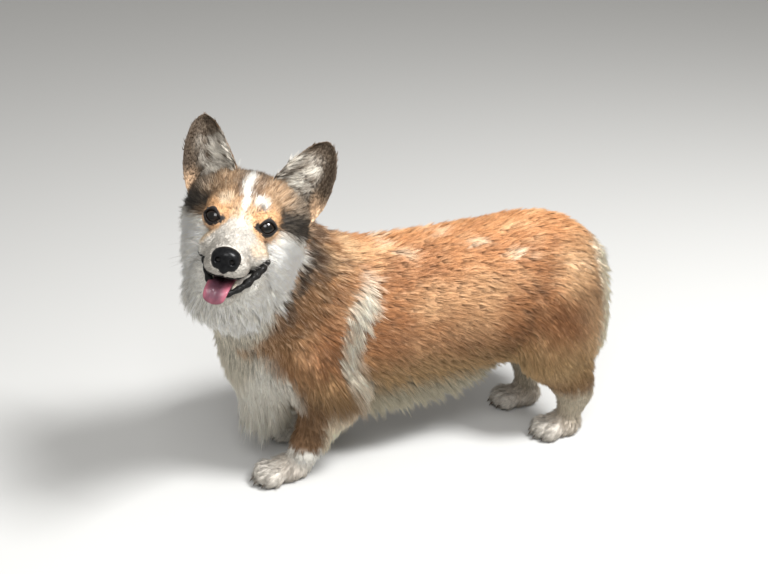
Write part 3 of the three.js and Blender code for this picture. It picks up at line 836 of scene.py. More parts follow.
# The body
clumps = cloud(hide.points * (1, 0.6, 0.9), 0.012, 10)
mark(0.35 * smooth_step(0.0, 0.5, clumps) + 0.35 * smooth_step(-0.1, 0.4, patchy), gold)
mark(0.3 * smooth_step(0.1, 0.5, -clumps) + 0.3 * smooth_step(0.1, 0.5, -patchy), dark_red)
mark(0.45 * smooth_step(92, 80, up) * smooth_step(14, 22, flank), dark_red)
# Paler tan on the low flanks, painted darker as shade under the body.
mark(smooth_step(64, 42, up) * 0.7, shaded_pale_tan)
# Painted highlights: pale cream spots along the top of the back, where the light catches the coat.
painted_highlight_spots = [(5.6, -15, 95), (13.5, -7, 92), (2, 8, 96), (13.6, 25, 93), (19.5, 40, 90), (22, 65, 84)]
mark(0.55 * both_eggs(painted_highlight_spots, (4, 5, 3), 0.008) * smooth_step(-0.4, 0.3, clumps), cream)
gold_patches = [(26, 18, 79), (28.5, 16, 66), (26, 2, 77)]
mark(0.35 * both_eggs(gold_patches, (8, 12, 8), 0.016), gold)
dark_patches = [(17.5, -13, 88), (29, -17, 68), (14, 2, 92)]
mark(0.5 * both_eggs(dark_patches, (7, 8, 8), 0.012), dark_red)
thigh_gold = [(25, 61, 82), (28, 72, 68), (27, 76, 54), (20, 74, 84)]
mark(0.55 * both_eggs(thigh_gold, (12, 9, 10), 0.014), gold)
# Painted shade: dark lines in the creases between flank and thigh and behind the thigh, with a softer band
# of painted shade on the flank ahead of them.
crease_shade = srgb(112, 74, 44)
creases = [(23, 55, 87), (27.6, 48, 80), (29.4, 43.5, 70.5), (28.1, 40.6, 61), (23, 35, 50)]
shade_before_creases = [(24, 50, 84), (29, 41, 72), (27, 36, 58), (22, 28, 48)]
mark(0.28 * both_lines(shade_before_creases, 0.012, 0.014), crease_shade)
mark(0.95 * both_lines(creases, 0.0035, 0.004), crease_shade)
hind_crease = [(25, 73, 75), (29, 68, 71), (30, 63.7, 65)]
mark(0.6 * both_lines(hind_crease, 0.004, 0.005), crease_shade)
# The belly's pale grey fringe, painted darker as shade under the body.
mark(smooth_step(44, 34, up) * part["torso"], shaded_fringe_grey)
rump_edge = smooth_step(72, 79, back) * smooth_step(94, 84, up)
mark(rump_edge * (1 - 0.6 * legs_hind * smooth_step(50, 30, up)), cream)

# The neck, the shoulder's streak and the bib
mark(part["neck"] * (0.5 + 0.4 * smooth_step(0, 0.5, clumps)), brown)
mark(part["neck"] * smooth_step(0.05, 0.4, -streaky - 0.2 * patchy) * smooth_step(60, 84, up) * 0.7, sable)
upper_neck = body_egg([(20, -37, 98), (12, -30, 98)], (9, 10, 7), 0.012)
mark(0.65 * upper_neck * smooth_step(-0.5, 0.3, clumps), gold)
mark(0.6 * smooth_step(-46, -56, back) * smooth_step(14, 22, side) * smooth_step(84, 74, up), brown)
before_streak = [(22, -37, 92), (29, -43, 76), (30, -45, 58)]
ragged = smooth_step(-0.35, 0.25, clumps)
mark(0.75 * both_lines(before_streak, 0.006) * ragged, dark_red)
streak = [(23.5, -25, 90), (28, -29.5, 81), (30.5, -34, 70), (30, -35.5, 58), (28.5, -32, 46), (26, -26, 40)]
streaks = both_lines(streak, 0.0135, 0.007)
mark(streaks * (0.65 + 0.35 * ragged), srgb(250, 239, 218))
bib = body_egg([(0, -82, 57)], (32, 31, 46), 0.012)
# The white bib, painted a greyer cream as the shade that the head casts on it.
shaded_bib_white = srgb(236, 230, 217)
mark(bib, shaded_bib_white)
# Painted shade: a darker cream down the front of the throat.
throat_shade = limb(in_body(face(-4, 6, -44)), 0.055, body(4, -86, 68), 0.075)
mark(within(throat_shade(marked), 0.010), srgb(214, 206, 188))
mark(head_egg((-4, 8, -48), (30, 24, 22), 0.008), white)
mark(head_egg((-30, -8, -40), (26, 26, 30), 0.010), white)
chest_patch = [(25, -73, 73), (31, -68, 75), (35, -58, 66)]
mark(0.9 * body_line(chest_patch, 0.019, 0.009), brown)

# The legs: orange-brown to the wrist and hock, darkened there with painted shade, with a cream fringe
# behind, and white below
# Painted shade: darker brown down the lower legs.
shaded_brown = srgb(112, 78, 48)
mark(legs_fore * smooth_step(56, 38, up) * 0.85, shaded_brown)
# A white patch at the elbow, in the same painted-shade white as the bib.
mark(0.9 * body_egg([(24, -63, 45)], (9, 10, 14), 0.010), shaded_bib_white)
mark(legs_hind * smooth_step(44, 28, up) * 0.7, shaded_brown)
wrist_back = np.where(side > 0, wrist_backs[1], wrist_backs[-1])
mark(legs_fore * smooth_step(3, 7, back - wrist_back) * smooth_step(45, 30, up), cream)
mark(legs_fore * smooth_step(17, 12, flank), cream)
mark(legs_fore * smooth_step(17, 13.5, up), white)
foot_grey = srgb(224, 217, 206)
hock_white_in_shade = srgb(198, 185, 162)
# The white hind legs below the hock, painted greyer as shade.
mark(legs_hind * smooth_step(31, 21, up + 1.2 * waver[:, 0] + 1.8 * wide_waver[:, 1]), hock_white_in_shade)
mark(paws, foot_grey)
mark(paws * smooth_step(0.004, 0.002, hide.points[:, 2]), near_black)

# The head: grizzled tan forehead, dark temples, white cheeks and muzzle
on_head = np.maximum(part["head"], within(hide.far["head"] - 0.012, 0.004))
forehead_tan = srgb(180, 144, 108)
dark_streak = srgb(88, 64, 47)
smoky = srgb(78, 71, 63)
mark(on_head * smooth_step(-20, -12, head_front), forehead_tan)
for s in (1, -1):
    mark(0.85 * head_line([(s * 5, -2, 35), (s * 6, 12, 30), (s * 4.6, 25, 20)], 0.006, 0.005), dark_streak)
    mark(0.8 * head_line([(s * 14, -2, 34), (s * 20, 4, 28)], 0.007, 0.008), dark_streak)
    mark(0.85 * on_head * head_egg((s * 31, 0, 18), (11, 17, 16), 0.010), smoky)
    mark(0.6 * head_egg((s * 22, -9, 30), (5, 7, 6), 0.006), cream)
temple_rows = both_sides(lambda s: [(s * 23, 17, 10.5), (s * 30, 9, 8.5), (s * 37, -6, 6)])
temples = np.maximum(*[head_line(row, 0.0105, 0.005) for row in temple_rows])
mark(temples, srgb(42, 37, 32))
mark(on_head * smooth_step(-10, -26, head_front), brown)
cheek_top = mixed(4.4, -2, smooth_step(13, -18, head_front))
cheek_back = np.interp(head_up, (-50, -35, -22, -13, -2), (-8.4, -10.8, -16.4, -19, -22))
cheek_back -= 14 * (head_side < 0)
white_cheek = smooth_step(1.5, -1.5, head_up - cheek_top + 1.5 * waver[:, 0])
behind_cheek = cheek_back - head_front + 2 * waver[:, 1]
round_head = within(hide.far["head"] - 0.034, 0.008) * smooth_step(14, 6, head_up)
round_head *= smooth_step(-76, -62, head_up)
band_width = np.interp(head_up, (-50, -30, -8), (21, 19, 10))
band = smooth_step(-1, 2, behind_cheek) * smooth_step(0, -6, behind_cheek - band_width) * round_head
band *= np.where(head_up < -22, smooth_step(-2, 10, head_side), 1)
mark(0.92 * band, sable)
on_head = np.maximum(on_head, within(hide.far["head"] - 0.030, 0.006) * smooth_step(-30, -20, head_front))
before_cheek_back = smooth_step(-2, 2, head_front - cheek_back + 3 * waver[:, 1])
mark(on_head * white_cheek * before_cheek_back, srgb(255, 250, 240))
# Painted shade: warm grey under the chin.
mark(0.75 * head_egg((4, 22, -47), (20, 10, 9), 0.008), srgb(150, 140, 112))
muzzle_edge = 31 + 0.55 * np.maximum(np.abs(head_side) - 3, 0)
peach = srgb(238, 206, 168)
mark(on_head * smooth_step(27, 31, head_front) * smooth_step(16, 10, head_up) * 0.8, peach)
mark(on_head * smooth_step(-9, -13, head_up) * smooth_step(-6, 0, head_front), white)
eye_fold_shadow = srgb(112, 78, 52)
muzzle_side = smooth_step(8, 12, head_side) * smooth_step(33, 37, head_front)
muzzle_side *= smooth_step(-15, -10, head_up)
for eye in eye_places:
    reach = np.linalg.norm(hide.local - eye.centre, axis=1) / eye_radius
    ring = smooth_step(2.0, 1.45, reach + waver[:, 2] * 0.15)
    mark(ring * 0.85, tan)
    # Painted shadow: a dark line in the fold under each eye, where the lower lid casts its shadow.
    fold = ((8.5, 31, -1), (13, 29.5, -3.4), (19, 23, -3.2), (22.5, 17, 0))
    mark(0.85 * head_line([(eye.sign * x, y, z) for x, y, z in fold], 0.0016, 0.0014), eye_fold_shadow)
muzzle_white = srgb(212, 206, 196)
mark(on_head * smooth_step(-2, 2, head_front - muzzle_edge + 2 * waver[:, 1]), muzzle_white)
mark(0.55 * on_head * muzzle_side * smooth_step(-0.4, 0.3, clumps), peach)
mark(0.95 * head_egg((9, 28, 17), (4.6, 5.6, 4), 0.003), white)
mark(0.5 * head_egg((-11, 28, 15.4), (4, 4.5, 3), 0.003), cream)
mark(0.85 * head_egg((10.5, 29.4, 14.2), (2.4, 4.4, 2), 0.002), smoky)
for eye in eye_places:
    reach = np.linalg.norm(hide.local - eye.centre, axis=1) / eye_radius
    corner = eye.rim((1 - eye.sign) / 2, 0, eye_radius)
    inner = np.linalg.norm(hide.local - corner, axis=1)
    beyond_opening = -eye.inside(hide.local)
    mark(smooth_step(0.0038, 0.0028, beyond_opening) * (reach < 1.6), near_black)
    mark(smooth_step(0.0062, 0.0042, inner), near_black)
blaze_places = ((-1.4, -4, 35.4), (-1.2, 0.5, 34.3), (-0.9, 23.5, 22.3), (0.5, 30, 13.7), (0.6, 36, 6))
blaze_form = chain([face(*place) for place in blaze_places], [0.0042, 0.0042, 0.0048, 0.0052, 0.006])
blaze = within(blaze_form(hide.local + 0.0007 * waver), 0.0011)
mark(blaze, white)
freckle = smooth_step(0.3, 0.55, cloud(hide.points, 0.003, 9)) * smooth_step(36, 42, head_front)
freckle *= head_up > -24
mark(0.5 * freckle * on_head * smooth_step(2, 6, np.abs(head_side)), ear_grey)

# Black lips, and the dark inside of the mouth
lip_far = np.min([lip(hide.local) for lip in lower_lips], axis=0)
lip_line = np.interp(head_front, lip_places[:, 1], lip_places[:, 2])
skull_edge = np.interp(head_front, palate_line[:, 0], palate_line[:, 1]) * head_length / 100 + 0.0004
on_lip = (lip_far < 0.0022) & (head_up > lip_line - 0.9)
on_lip |= (lip_far < 0.0075) & (head_up > lip_line - 0.2) & (hide.local[:, 2] < skull_edge)
hollow_far = mouth_hollow(hide.local)
mark(hollow_far < 0.0032, srgb(22, 18, 18))
mark(hollow_far < -0.001, srgb(70, 30, 34))
mark(on_lip, srgb(20, 17, 17))
in_mouth = on_lip | (hollow_far < 0.0026)

# The ears: dark rims and backs, long whitish hair inside from the inner base, tan at the outer base
ear_dark = srgb(80, 65, 50)
mark(on_ear, mixed(brown, sable, 0.6))
mark(on_ear * ear_inside, ear_dark)
outwards = np.abs(head_side) - np.interp(ear_along, (0, 0.5, 1), (20, 30, 37))
pale_in_ear = ear_inside * smooth_step(0.75, 0.3, ear_along) * smooth_step(12, 3, outwards)
ear_wisps = cloud(hide.local * (1, 1, 2.6), 0.012, 11)
mark(on_ear * pale_in_ear * smooth_step(-0.4, 0.15, ear_wisps), srgb(232, 225, 212))
outer_base = smooth_step(0.35, 0.1, ear_along)
mark(on_ear * outer_base * smooth_step(34, 38, np.abs(head_side)), srgb(236, 198, 160))

# How much each place mixes pale and dark hairs
grizzled = 0.12 + 0.5 * on_head * smooth_step(27, 14, head_front) * smooth_step(0, 6, head_up)
grizzled = np.maximum(grizzled, 0.4 * band)
grizzled = np.maximum(grizzled, 0.35 * part["neck"])
grizzled *= 1 - 0.8 * temples
grizzled = mixed(grizzled, 0.16, on_ear)
grizzled *= 1 - blaze

# Lie and length: which way the hair grows from each point, how long, how wide and how far it stands off
nose_tip = face(0, 66, -14)


def turned_out(local):
    return local @ head_turn.T


neck_way = body(2, -38, 66) - mixed(nape, throat, 0.45)
neck_way /= np.linalg.norm(neck_way)
low_flank = smooth_step(80, 40, up)[:, None]
rump = smooth_step(58, 84, back)[:, None]
neck_front = smooth_step(-58, -72, back)[:, None]
low_leg = smooth_step(38, 22, up)[:, None]
ways = {
    "torso": (0, 1, -0.25) + low_flank * (0, -0.25, -0.45) + rump * (0, -0.45, -0.9),
    "neck": neck_way + (0, 0.1, -0.35) + neck_front * (0, -0.3, -0.8),
    "tail": (0, 0.55, -0.8),
    "head": turned_out(hide.local - nose_tip) / 0.12,
    "foreleg": (0, 0.35, -1) + low_leg * (0, -0.2, 0),
    "hindleg": (0, 0.5, -1) + low_leg * (0, -0.4, 0),
    "paw": (0, -0.9, -0.5),
}
ways["torso"] += bib[:, None] * (0, -0.85, -1) + streaks[:, None] * (0, -0.7, -1.3)
ways["torso"] += smooth_step(34, 24, up)[:, None] * (0, -0.2, -0.6)
head_half = np.sign(hide.local[:, :1])
cheek_way = head_half * (0.42, 0, 0) + (0, 0.72, -0.56)
is_cheek = smooth_step(22, 8, head_front) * smooth_step(12, 0, head_up)
ways["head"] = mixed(ways["head"], turned_out(cheek_way), is_cheek[:, None])
ear_way = head_half * (0.25, 0, 0) + (0, 0.05, 1)
ear_way += pale_in_ear[:, None] * (head_half * (0.35, 0, 0) + (0, 0, -0.1))


def part_of_way(name):
    for key in ("paw", "foreleg", "hindleg"):
        if key in name:
            return key
    return name


lie = sum(part[name][:, None] * ways[part_of_way(name)] for name in part_forms)
lie = mixed(lie, turned_out(ear_way), on_ear[:, None])
lie += 0.22 * wide_waver + 0.1 * waver


def flat_on(normals, vectors):
    flat = vectors - (vectors * normals).sum(axis=1)[:, None] * normals
    return flat / np.maximum(np.linalg.norm(flat, axis=1), 1e-6)[:, None]


lie = flat_on(hide.normals, lie)

front_head = smooth_step(-2, 14, head_front)
muzzle = smooth_step(22, 36, head_front)
ear_base = np.min([np.linalg.norm(hide.local - face(s * 24, 0, 24), axis=1) for s in (1, -1)], axis=0)
by_ear = smooth_step(0.036, 0.016, ear_base)
head_length_of_coat = mixed(mixed(0.017, 0.012, front_head), 0.019, by_ear)
head_length_of_coat = mixed(head_length_of_coat, 0.0045, muzzle)
head_length_of_coat = mixed(head_length_of_coat, 0.022, is_cheek * (1 - muzzle))
eye_reach = np.min([np.linalg.norm(hide.local - eye.centre, axis=1) for eye in eye_places], axis=0)
head_length_of_coat = mixed(head_length_of_coat, 0.004, smooth_step(2.1, 1.5, eye_reach / eye_radius))
lengths = {
    "torso": (
        0.018
        + 0.004 * smooth_step(60, 36, up)
        + 0.010 * smooth_step(38, 28, up)
        + 0.008 * bib
        + 0.006 * streaks
        + 0.020 * bib * smooth_step(50, 34, up)
        + 0.008 * smooth_step(74, 84, back) * smooth_step(94, 84, up)
    ),
    "neck": 0.023,
    "tail": 0.03,
    "head": head_length_of_coat,
    "foreleg": (
        mixed(0.010, 0.022, smooth_step(20, 46, up))
        + 0.014 * smooth_step(2, 7, back - wrist_back) * smooth_step(14, 20, up)
    ),
    "hindleg": mixed(0.009, 0.022, smooth_step(24, 44, up)) + 0.012 * smooth_step(76, 84, back),
    "paw": 0.0115,
}
length = sum(part[name] * lengths[part_of_way(name)] for name in part_forms)
length = mixed(length, mixed(0.0045, mixed(0.006, 0.017, pale_in_ear), ear_inside), on_ear)
length += 0.006 * streaks
lifts = {
    "torso": 0.3 + 0.15 * smooth_step(74, 84, back),
    "neck": 0.38,
    "tail": 0.35,
    "head": mixed(mixed(mixed(0.34, 0.2, muzzle), 0.42, is_cheek), 0.6, by_ear),
    "foreleg": 0.24,
    "hindleg": 0.26,
    "paw": 0.42,
}
lift = sum(part[name] * lifts[part_of_way(name)] for name in part_forms)
hanging = smooth_step(44, 30, up) * smooth_step(0.1, -0.5, hide.normals[:, 2]) * part["torso"]
lift += 0.6 * hanging + 0.16 * streaks
lift = mixed(lift, mixed(0.16, mixed(0.2, 0.55, pale_in_ear), ear_inside), on_ear)
width = np.interp(length, (0.004, 0.01, 0.02, 0.035), (0.0005, 0.0007, 0.0009, 0.0011))
cling = 1 - 0.9 * hanging

# Nothing grows in the eyes' openings, in the mouth, under the nose's leather or under the soles
growth = np.ones(len(hide.points))
for eye in eye_places:
    growth *= smooth_step(-0.0018, -0.0032, eye.inside(hide.local))
    corner = eye.rim((1 - eye.sign) / 2, 0, eye_radius)
    growth *= smooth_step(0.0034, 0.0048, np.linalg.norm(hide.local - corner, axis=1))
nose_field = blend(
    0.005,
    egg(face(0, 61.6, -13), face_span(8.4, 7, 6)),
    *both_sides(lambda s: egg(face(s * 4.4, 62.2, -16), face_span(4.3, 5.4, 5.8))),
    egg(face(0, 62.2, -19.4), face_span(3.4, 4.6, 4.4)),
)
nose_far = nose_field(hide.local)
growth *= smooth_step(-0.0024, -0.0012, nose_far)
mark(smooth_step(-0.0016, -0.0024, nose_far), near_black)
growth *= ~in_mouth
growth *= smooth_step(0.0008, 0.002, hide.points[:, 2])

# The parts of the coat, each a piece of its own with about so many triangles
coat_triangles = {
    "coat_face": 180e3, "coat_cheeks": 170e3, "coat_ears": 110e3, "coat_ruff": 190e3, "coat_bib": 110e3,
    "coat_left_flank": 194e3, "coat_right_flank": 130e3, "coat_belly": 60e3, "coat_left_thigh": 110e3,
    "coat_right_thigh": 80e3, "coat_forelegs": 90e3, "coat_feet": 75e3,
}
coat_number = {name: number for number, name in enumerate(coat_triangles)}
nearest_part = far_from_parts.argmin(axis=0)
by_part = {name: nearest_part == i for i, name in enumerate(part_forms)}
label = np.zeros(len(hide.points), int)


def given_to(name, where):
    label[where] = coat_number[name]


face_back = -4
given_to("coat_cheeks", by_part["head"])
given_to("coat_face", by_part["head"] & (is_cheek <= 0.5) & (head_front > face_back))
given_to("coat_ruff", by_part["neck"])
given_to("coat_left_flank", by_part["torso"] & (side > 0))
given_to("coat_right_flank", by_part["torso"] & (side <= 0))
given_to("coat_belly", by_part["torso"] & (up < 34))
given_to("coat_bib", by_part["torso"] & (back < -52) & (up < 78))
given_to("coat_right_thigh", by_part["tail"])
for which in ("left", "right"):
    given_to("coat_" + which + "_thigh", by_part[which + "_hindleg"])
    given_to("coat_feet", by_part[which + "_hindleg"] & (up < 24))
    given_to("coat_forelegs", by_part[which + "_foreleg"])
    given_to("coat_feet", by_part[which + "_fore_paw"] | by_part[which + "_hind_paw"])
given_to("coat_ears", on_ear > 0.5)


def store(mesh, name, kind, rows):
    attribute = mesh.attributes.new(name, kind, "POINT")
    field = {"FLOAT": "value", "FLOAT_VECTOR": "vector", "FLOAT_COLOR": "color"}[kind]
    attribute.data.foreach_set(field, np.ascontiguousarray(rows, dtype=np.float32).ravel())


store(skin.data, "coat", "FLOAT_COLOR", np.concatenate([coat_colour, ones], axis=1))
store(skin.data, "lie", "FLOAT_VECTOR", lie)
store(skin.data, "hide_normal", "FLOAT_VECTOR", hide.normals)
single_values = {
    "long": length, "wide": width, "lift": lift, "cling": cling, "growth": growth, "grizzled": grizzled,
}
for name, rows in single_values.items():
    store(skin.data, name, "FLOAT", rows)

# Coat
# Tufts of hair over the whole hide. Each tuft is a few tapered hairs that leave the skin together, follow it
# along the lie of the coat and thin out to nothing. One geometry tree sets them on the hide.
hide_faces = np.array([tuple(f.vertices)[:3] for f in skin.data.polygons])
face_label = label[hide_faces[:, 0]]
piece_number = skin.data.attributes.new("piece", "INT", "FACE")
piece_number.data.foreach_set("value", face_label.astype(np.int32))
face_area = np.empty(len(skin.data.polygons))
skin.data.polygons.foreach_get("area", face_area)
face_growth = growth[hide_faces].mean(axis=1)

# Charts: the turn round a part's own axis and the way along it, for the coat's own map
turn = np.zeros((len(hide.points), 3))
tile_start = np.zeros(len(hide.points))
tile_width = np.ones(len(hide.points))


def chart(place, start, end, tiles=1, tile=0):
    along = end - start
    upright = abs(along[2]) >= 0.9 * np.linalg.norm(along)
    aside = np.array((0.0, -1, 0)) if upright else np.cross(along, (0, 0, 1))
    across = np.cross(along, aside)
    rel = hide.points[place] - start
    x = rel @ aside / np.linalg.norm(aside)
    y = rel @ across / np.linalg.norm(across)
    far = np.maximum(np.hypot(x, y), 1e-6)
    turn[place] = np.stack([x / far, y / far, rel @ along / (along @ along)], axis=1)
    tile_start[place] = tile / tiles
    tile_width[place] = 1 / tiles


def in_piece(*chosen):
    return np.isin(label, [coat_number[name] for name in chosen])


chart(in_piece("coat_face", "coat_cheeks"), in_body(face(0, -40, 0)), in_body(face(0, 75, -14)))
for i, sign in enumerate((1, -1)):
    this_side = (side > 0) == (sign > 0)
    ear_side = (hide.local[:, 0] > 0) == (sign > 0)
    foot = in_piece("coat_feet") & this_side
    ear_root, ear_top = in_body(face(sign * 24, -2, 18)), in_body(face(sign * 40, -1, 66))
    chart(in_piece("coat_ears") & ear_side, ear_root, ear_top, 2, i)
    chart(in_piece("coat_forelegs") & this_side, body(sign * 20, -45, 80), body(sign * 18, -45, 8), 2, i)
    chart(foot & (back < 20), body(sign * 17, -50, 28), body(sign * 17, -50, -1), 4, i)
    chart(foot & (back > 20), body(sign * 17, 66, 28), body(sign * 17, 66, -1), 4, i + 2)
chart(in_piece("coat_ruff"), body(2, -20, 66), mixed(nape, throat, 0.45))
chart(in_piece("coat_bib"), body(0, -50, 95), body(0, -50, 20))
for name in ("coat_left_flank", "coat_right_flank", "coat_belly"):
    chart(in_piece(name), body(0, -75, 62), body(0, 95, 62))
for name, axis_side in (("coat_left_thigh", 8), ("coat_right_thigh", -8)):
    chart(in_piece(name), body(axis_side, 62, 100), body(axis_side, 62, 18))
store(skin.data, "turn", "FLOAT_VECTOR", turn)
store(skin.data, "tile_start", "FLOAT", tile_start)
store(skin.data, "tile_width", "FLOAT", tile_width)


def tuft(name, draw, hairs, spread, gather):
    """A tuft one unit long, of closed hairs with three sides that run to a point."""
    points, faces, strands = [], [], []
    for first in range(0, 4 * hairs, 4):
        aside = draw.uniform(-spread, spread)
        foot = np.array((aside, draw.uniform(-0.12, 0.12), -0.03))
        reach = draw.uniform(0.68, 1)
        tip_aside = aside * gather + draw.uniform(-1.2, 1.2)
        tip = np.array((tip_aside, foot[1] + reach, draw.uniform(-0.05, 0.05)))
        # Of this pair of draws only the second is used.
        half = draw.uniform((0, 0.38), (0.05, 0.62))[1]
        points += [foot - (half, 0, 0), foot + (half, 0, 0), foot + (0, 0, 0.032 * half), tip]
        faces.append((first + 2, first + 1, first))
        faces += [(first + j, first + (j + 1) % 3, first + 3) for j in range(3)]
        strands += [draw.uniform(0, 1)] * 4
    mesh = bpy.data.meshes.new(name)
    mesh.from_pydata([tuple(p) for p in points], [], faces)
    spots = np.array(points)
    places = np.stack([spots[:, 0] / (4 * spread), spots[:, 1] - 0.5, 0 * spots[:, 0]], axis=1)
    store(mesh, "along", "FLOAT", np.tile((0, 0, 0, 1), hairs))
    store(mesh, "strand", "FLOAT", np.array(strands))
    store(mesh, "place", "FLOAT_VECTOR", np.clip(places, -0.5, 0.5))
    mesh.shade_smooth()
    return bpy.data.objects.new(name, mesh)


tuft_kinds = 8


def tuft_set(name, **shape):
    draw = np.random.default_rng(4)
    made = bpy.data.collections.new(name)
    for i in range(tuft_kinds):
        made.objects.link(tuft(name + "_" + str(i), draw, **shape))
    return made


triangles_of_hair = 4
long_hairs = 13
short_hairs = 6
long_tufts = tuft_set("long_tufts", hairs=long_hairs, spread=3.2, gather=0.6)
short_tufts = tuft_set("short_tufts", hairs=short_hairs, spread=2.4, gather=1.0)


class Tree:
    """A node tree under construction."""

    def __init__(self, tree):
        self.tree = tree

    def socket(self, name, kind, direction="INPUT", default=None):
        made = self.tree.interface.new_socket(name, in_out=direction, socket_type="NodeSocket" + kind)
        if default is not None:
            made.default_value = default
        return made

    def add(self, kind, inputs=(), **settings):
        node = self.tree.nodes.new(kind)
        for key, value in settings.items():
            setattr(node, key, value)
        for key, value in dict(inputs).items():
            self.feed(node.inputs[key], value)
        return node

    def feed(self, socket, value):
        if isinstance(value, bpy.types.NodeSocket):
            self.tree.links.new(value, socket)
        elif isinstance(value, bpy.types.Node):
            self.tree.links.new(value.outputs[0], socket)
        else:
            socket.default_value = value

    def named(self, name, kind="FLOAT"):
        return self.add("GeometryNodeInputNamedAttribute", {"Name": name}, data_type=kind).outputs[0]

    def sum(self, operation, *values):
        return self.add("ShaderNodeMath", enumerate(values), operation=operation).outputs[0]

    def vector(self, operation, *values):
        node = self.add("ShaderNodeVectorMath", enumerate(values), operation=operation)
        return node.outputs["Value" if operation in ("DOT_PRODUCT", "LENGTH") else "Vector"]

    def scaled(self, vector, scale):
        return self.add("ShaderNodeVectorMath", {0: vector, "Scale": scale}, operation="SCALE").outputs[0]

    def drawn(self, low, high, seed):
        node = self.add("FunctionNodeRandomValue", {2: low, 3: high, "Seed": seed}, data_type="FLOAT")
        return node.outputs[1]

    def stored(self, name, output="Fac"):
        return self.add("ShaderNodeAttribute", attribute_name=name).outputs[output]

    def mix(self, share, first, second):
        return self.add("ShaderNodeMix", {0: share, 6: first, 7: second}, data_type="RGBA").outputs[2]

    def noise(self, scale):
        where = self.add("ShaderNodeTexCoord").outputs["Object"]
        return self.add("ShaderNodeTexNoise", {"Vector": where, "Scale": scale}).outputs["Fac"]

    def rise_with(self, height, distance, strength=1.0, **settings):
        """Raises the shader's surface with the height, by the distance in metres."""
        inputs = {"Height": height, "Distance": distance, "Strength": strength}
        bump = self.add("ShaderNodeBump", inputs, **settings)
        self.feed(self.shader["Normal"], bump.outputs["Normal"])

    def keep(self, geometry, name, value, kind="FLOAT", domain="POINT"):
        inputs = {"Geometry": geometry, "Name": name, "Value": value}
        return self.add("GeometryNodeStoreNamedAttribute", inputs, data_type=kind, domain=domain).outputs[0]


def new_group(name, kind):
    t = Tree(bpy.data.node_groups.new(name, kind))
    t.start = t.tree.nodes.new("NodeGroupInput")
    t.end = t.tree.nodes.new("NodeGroupOutput")
    return t


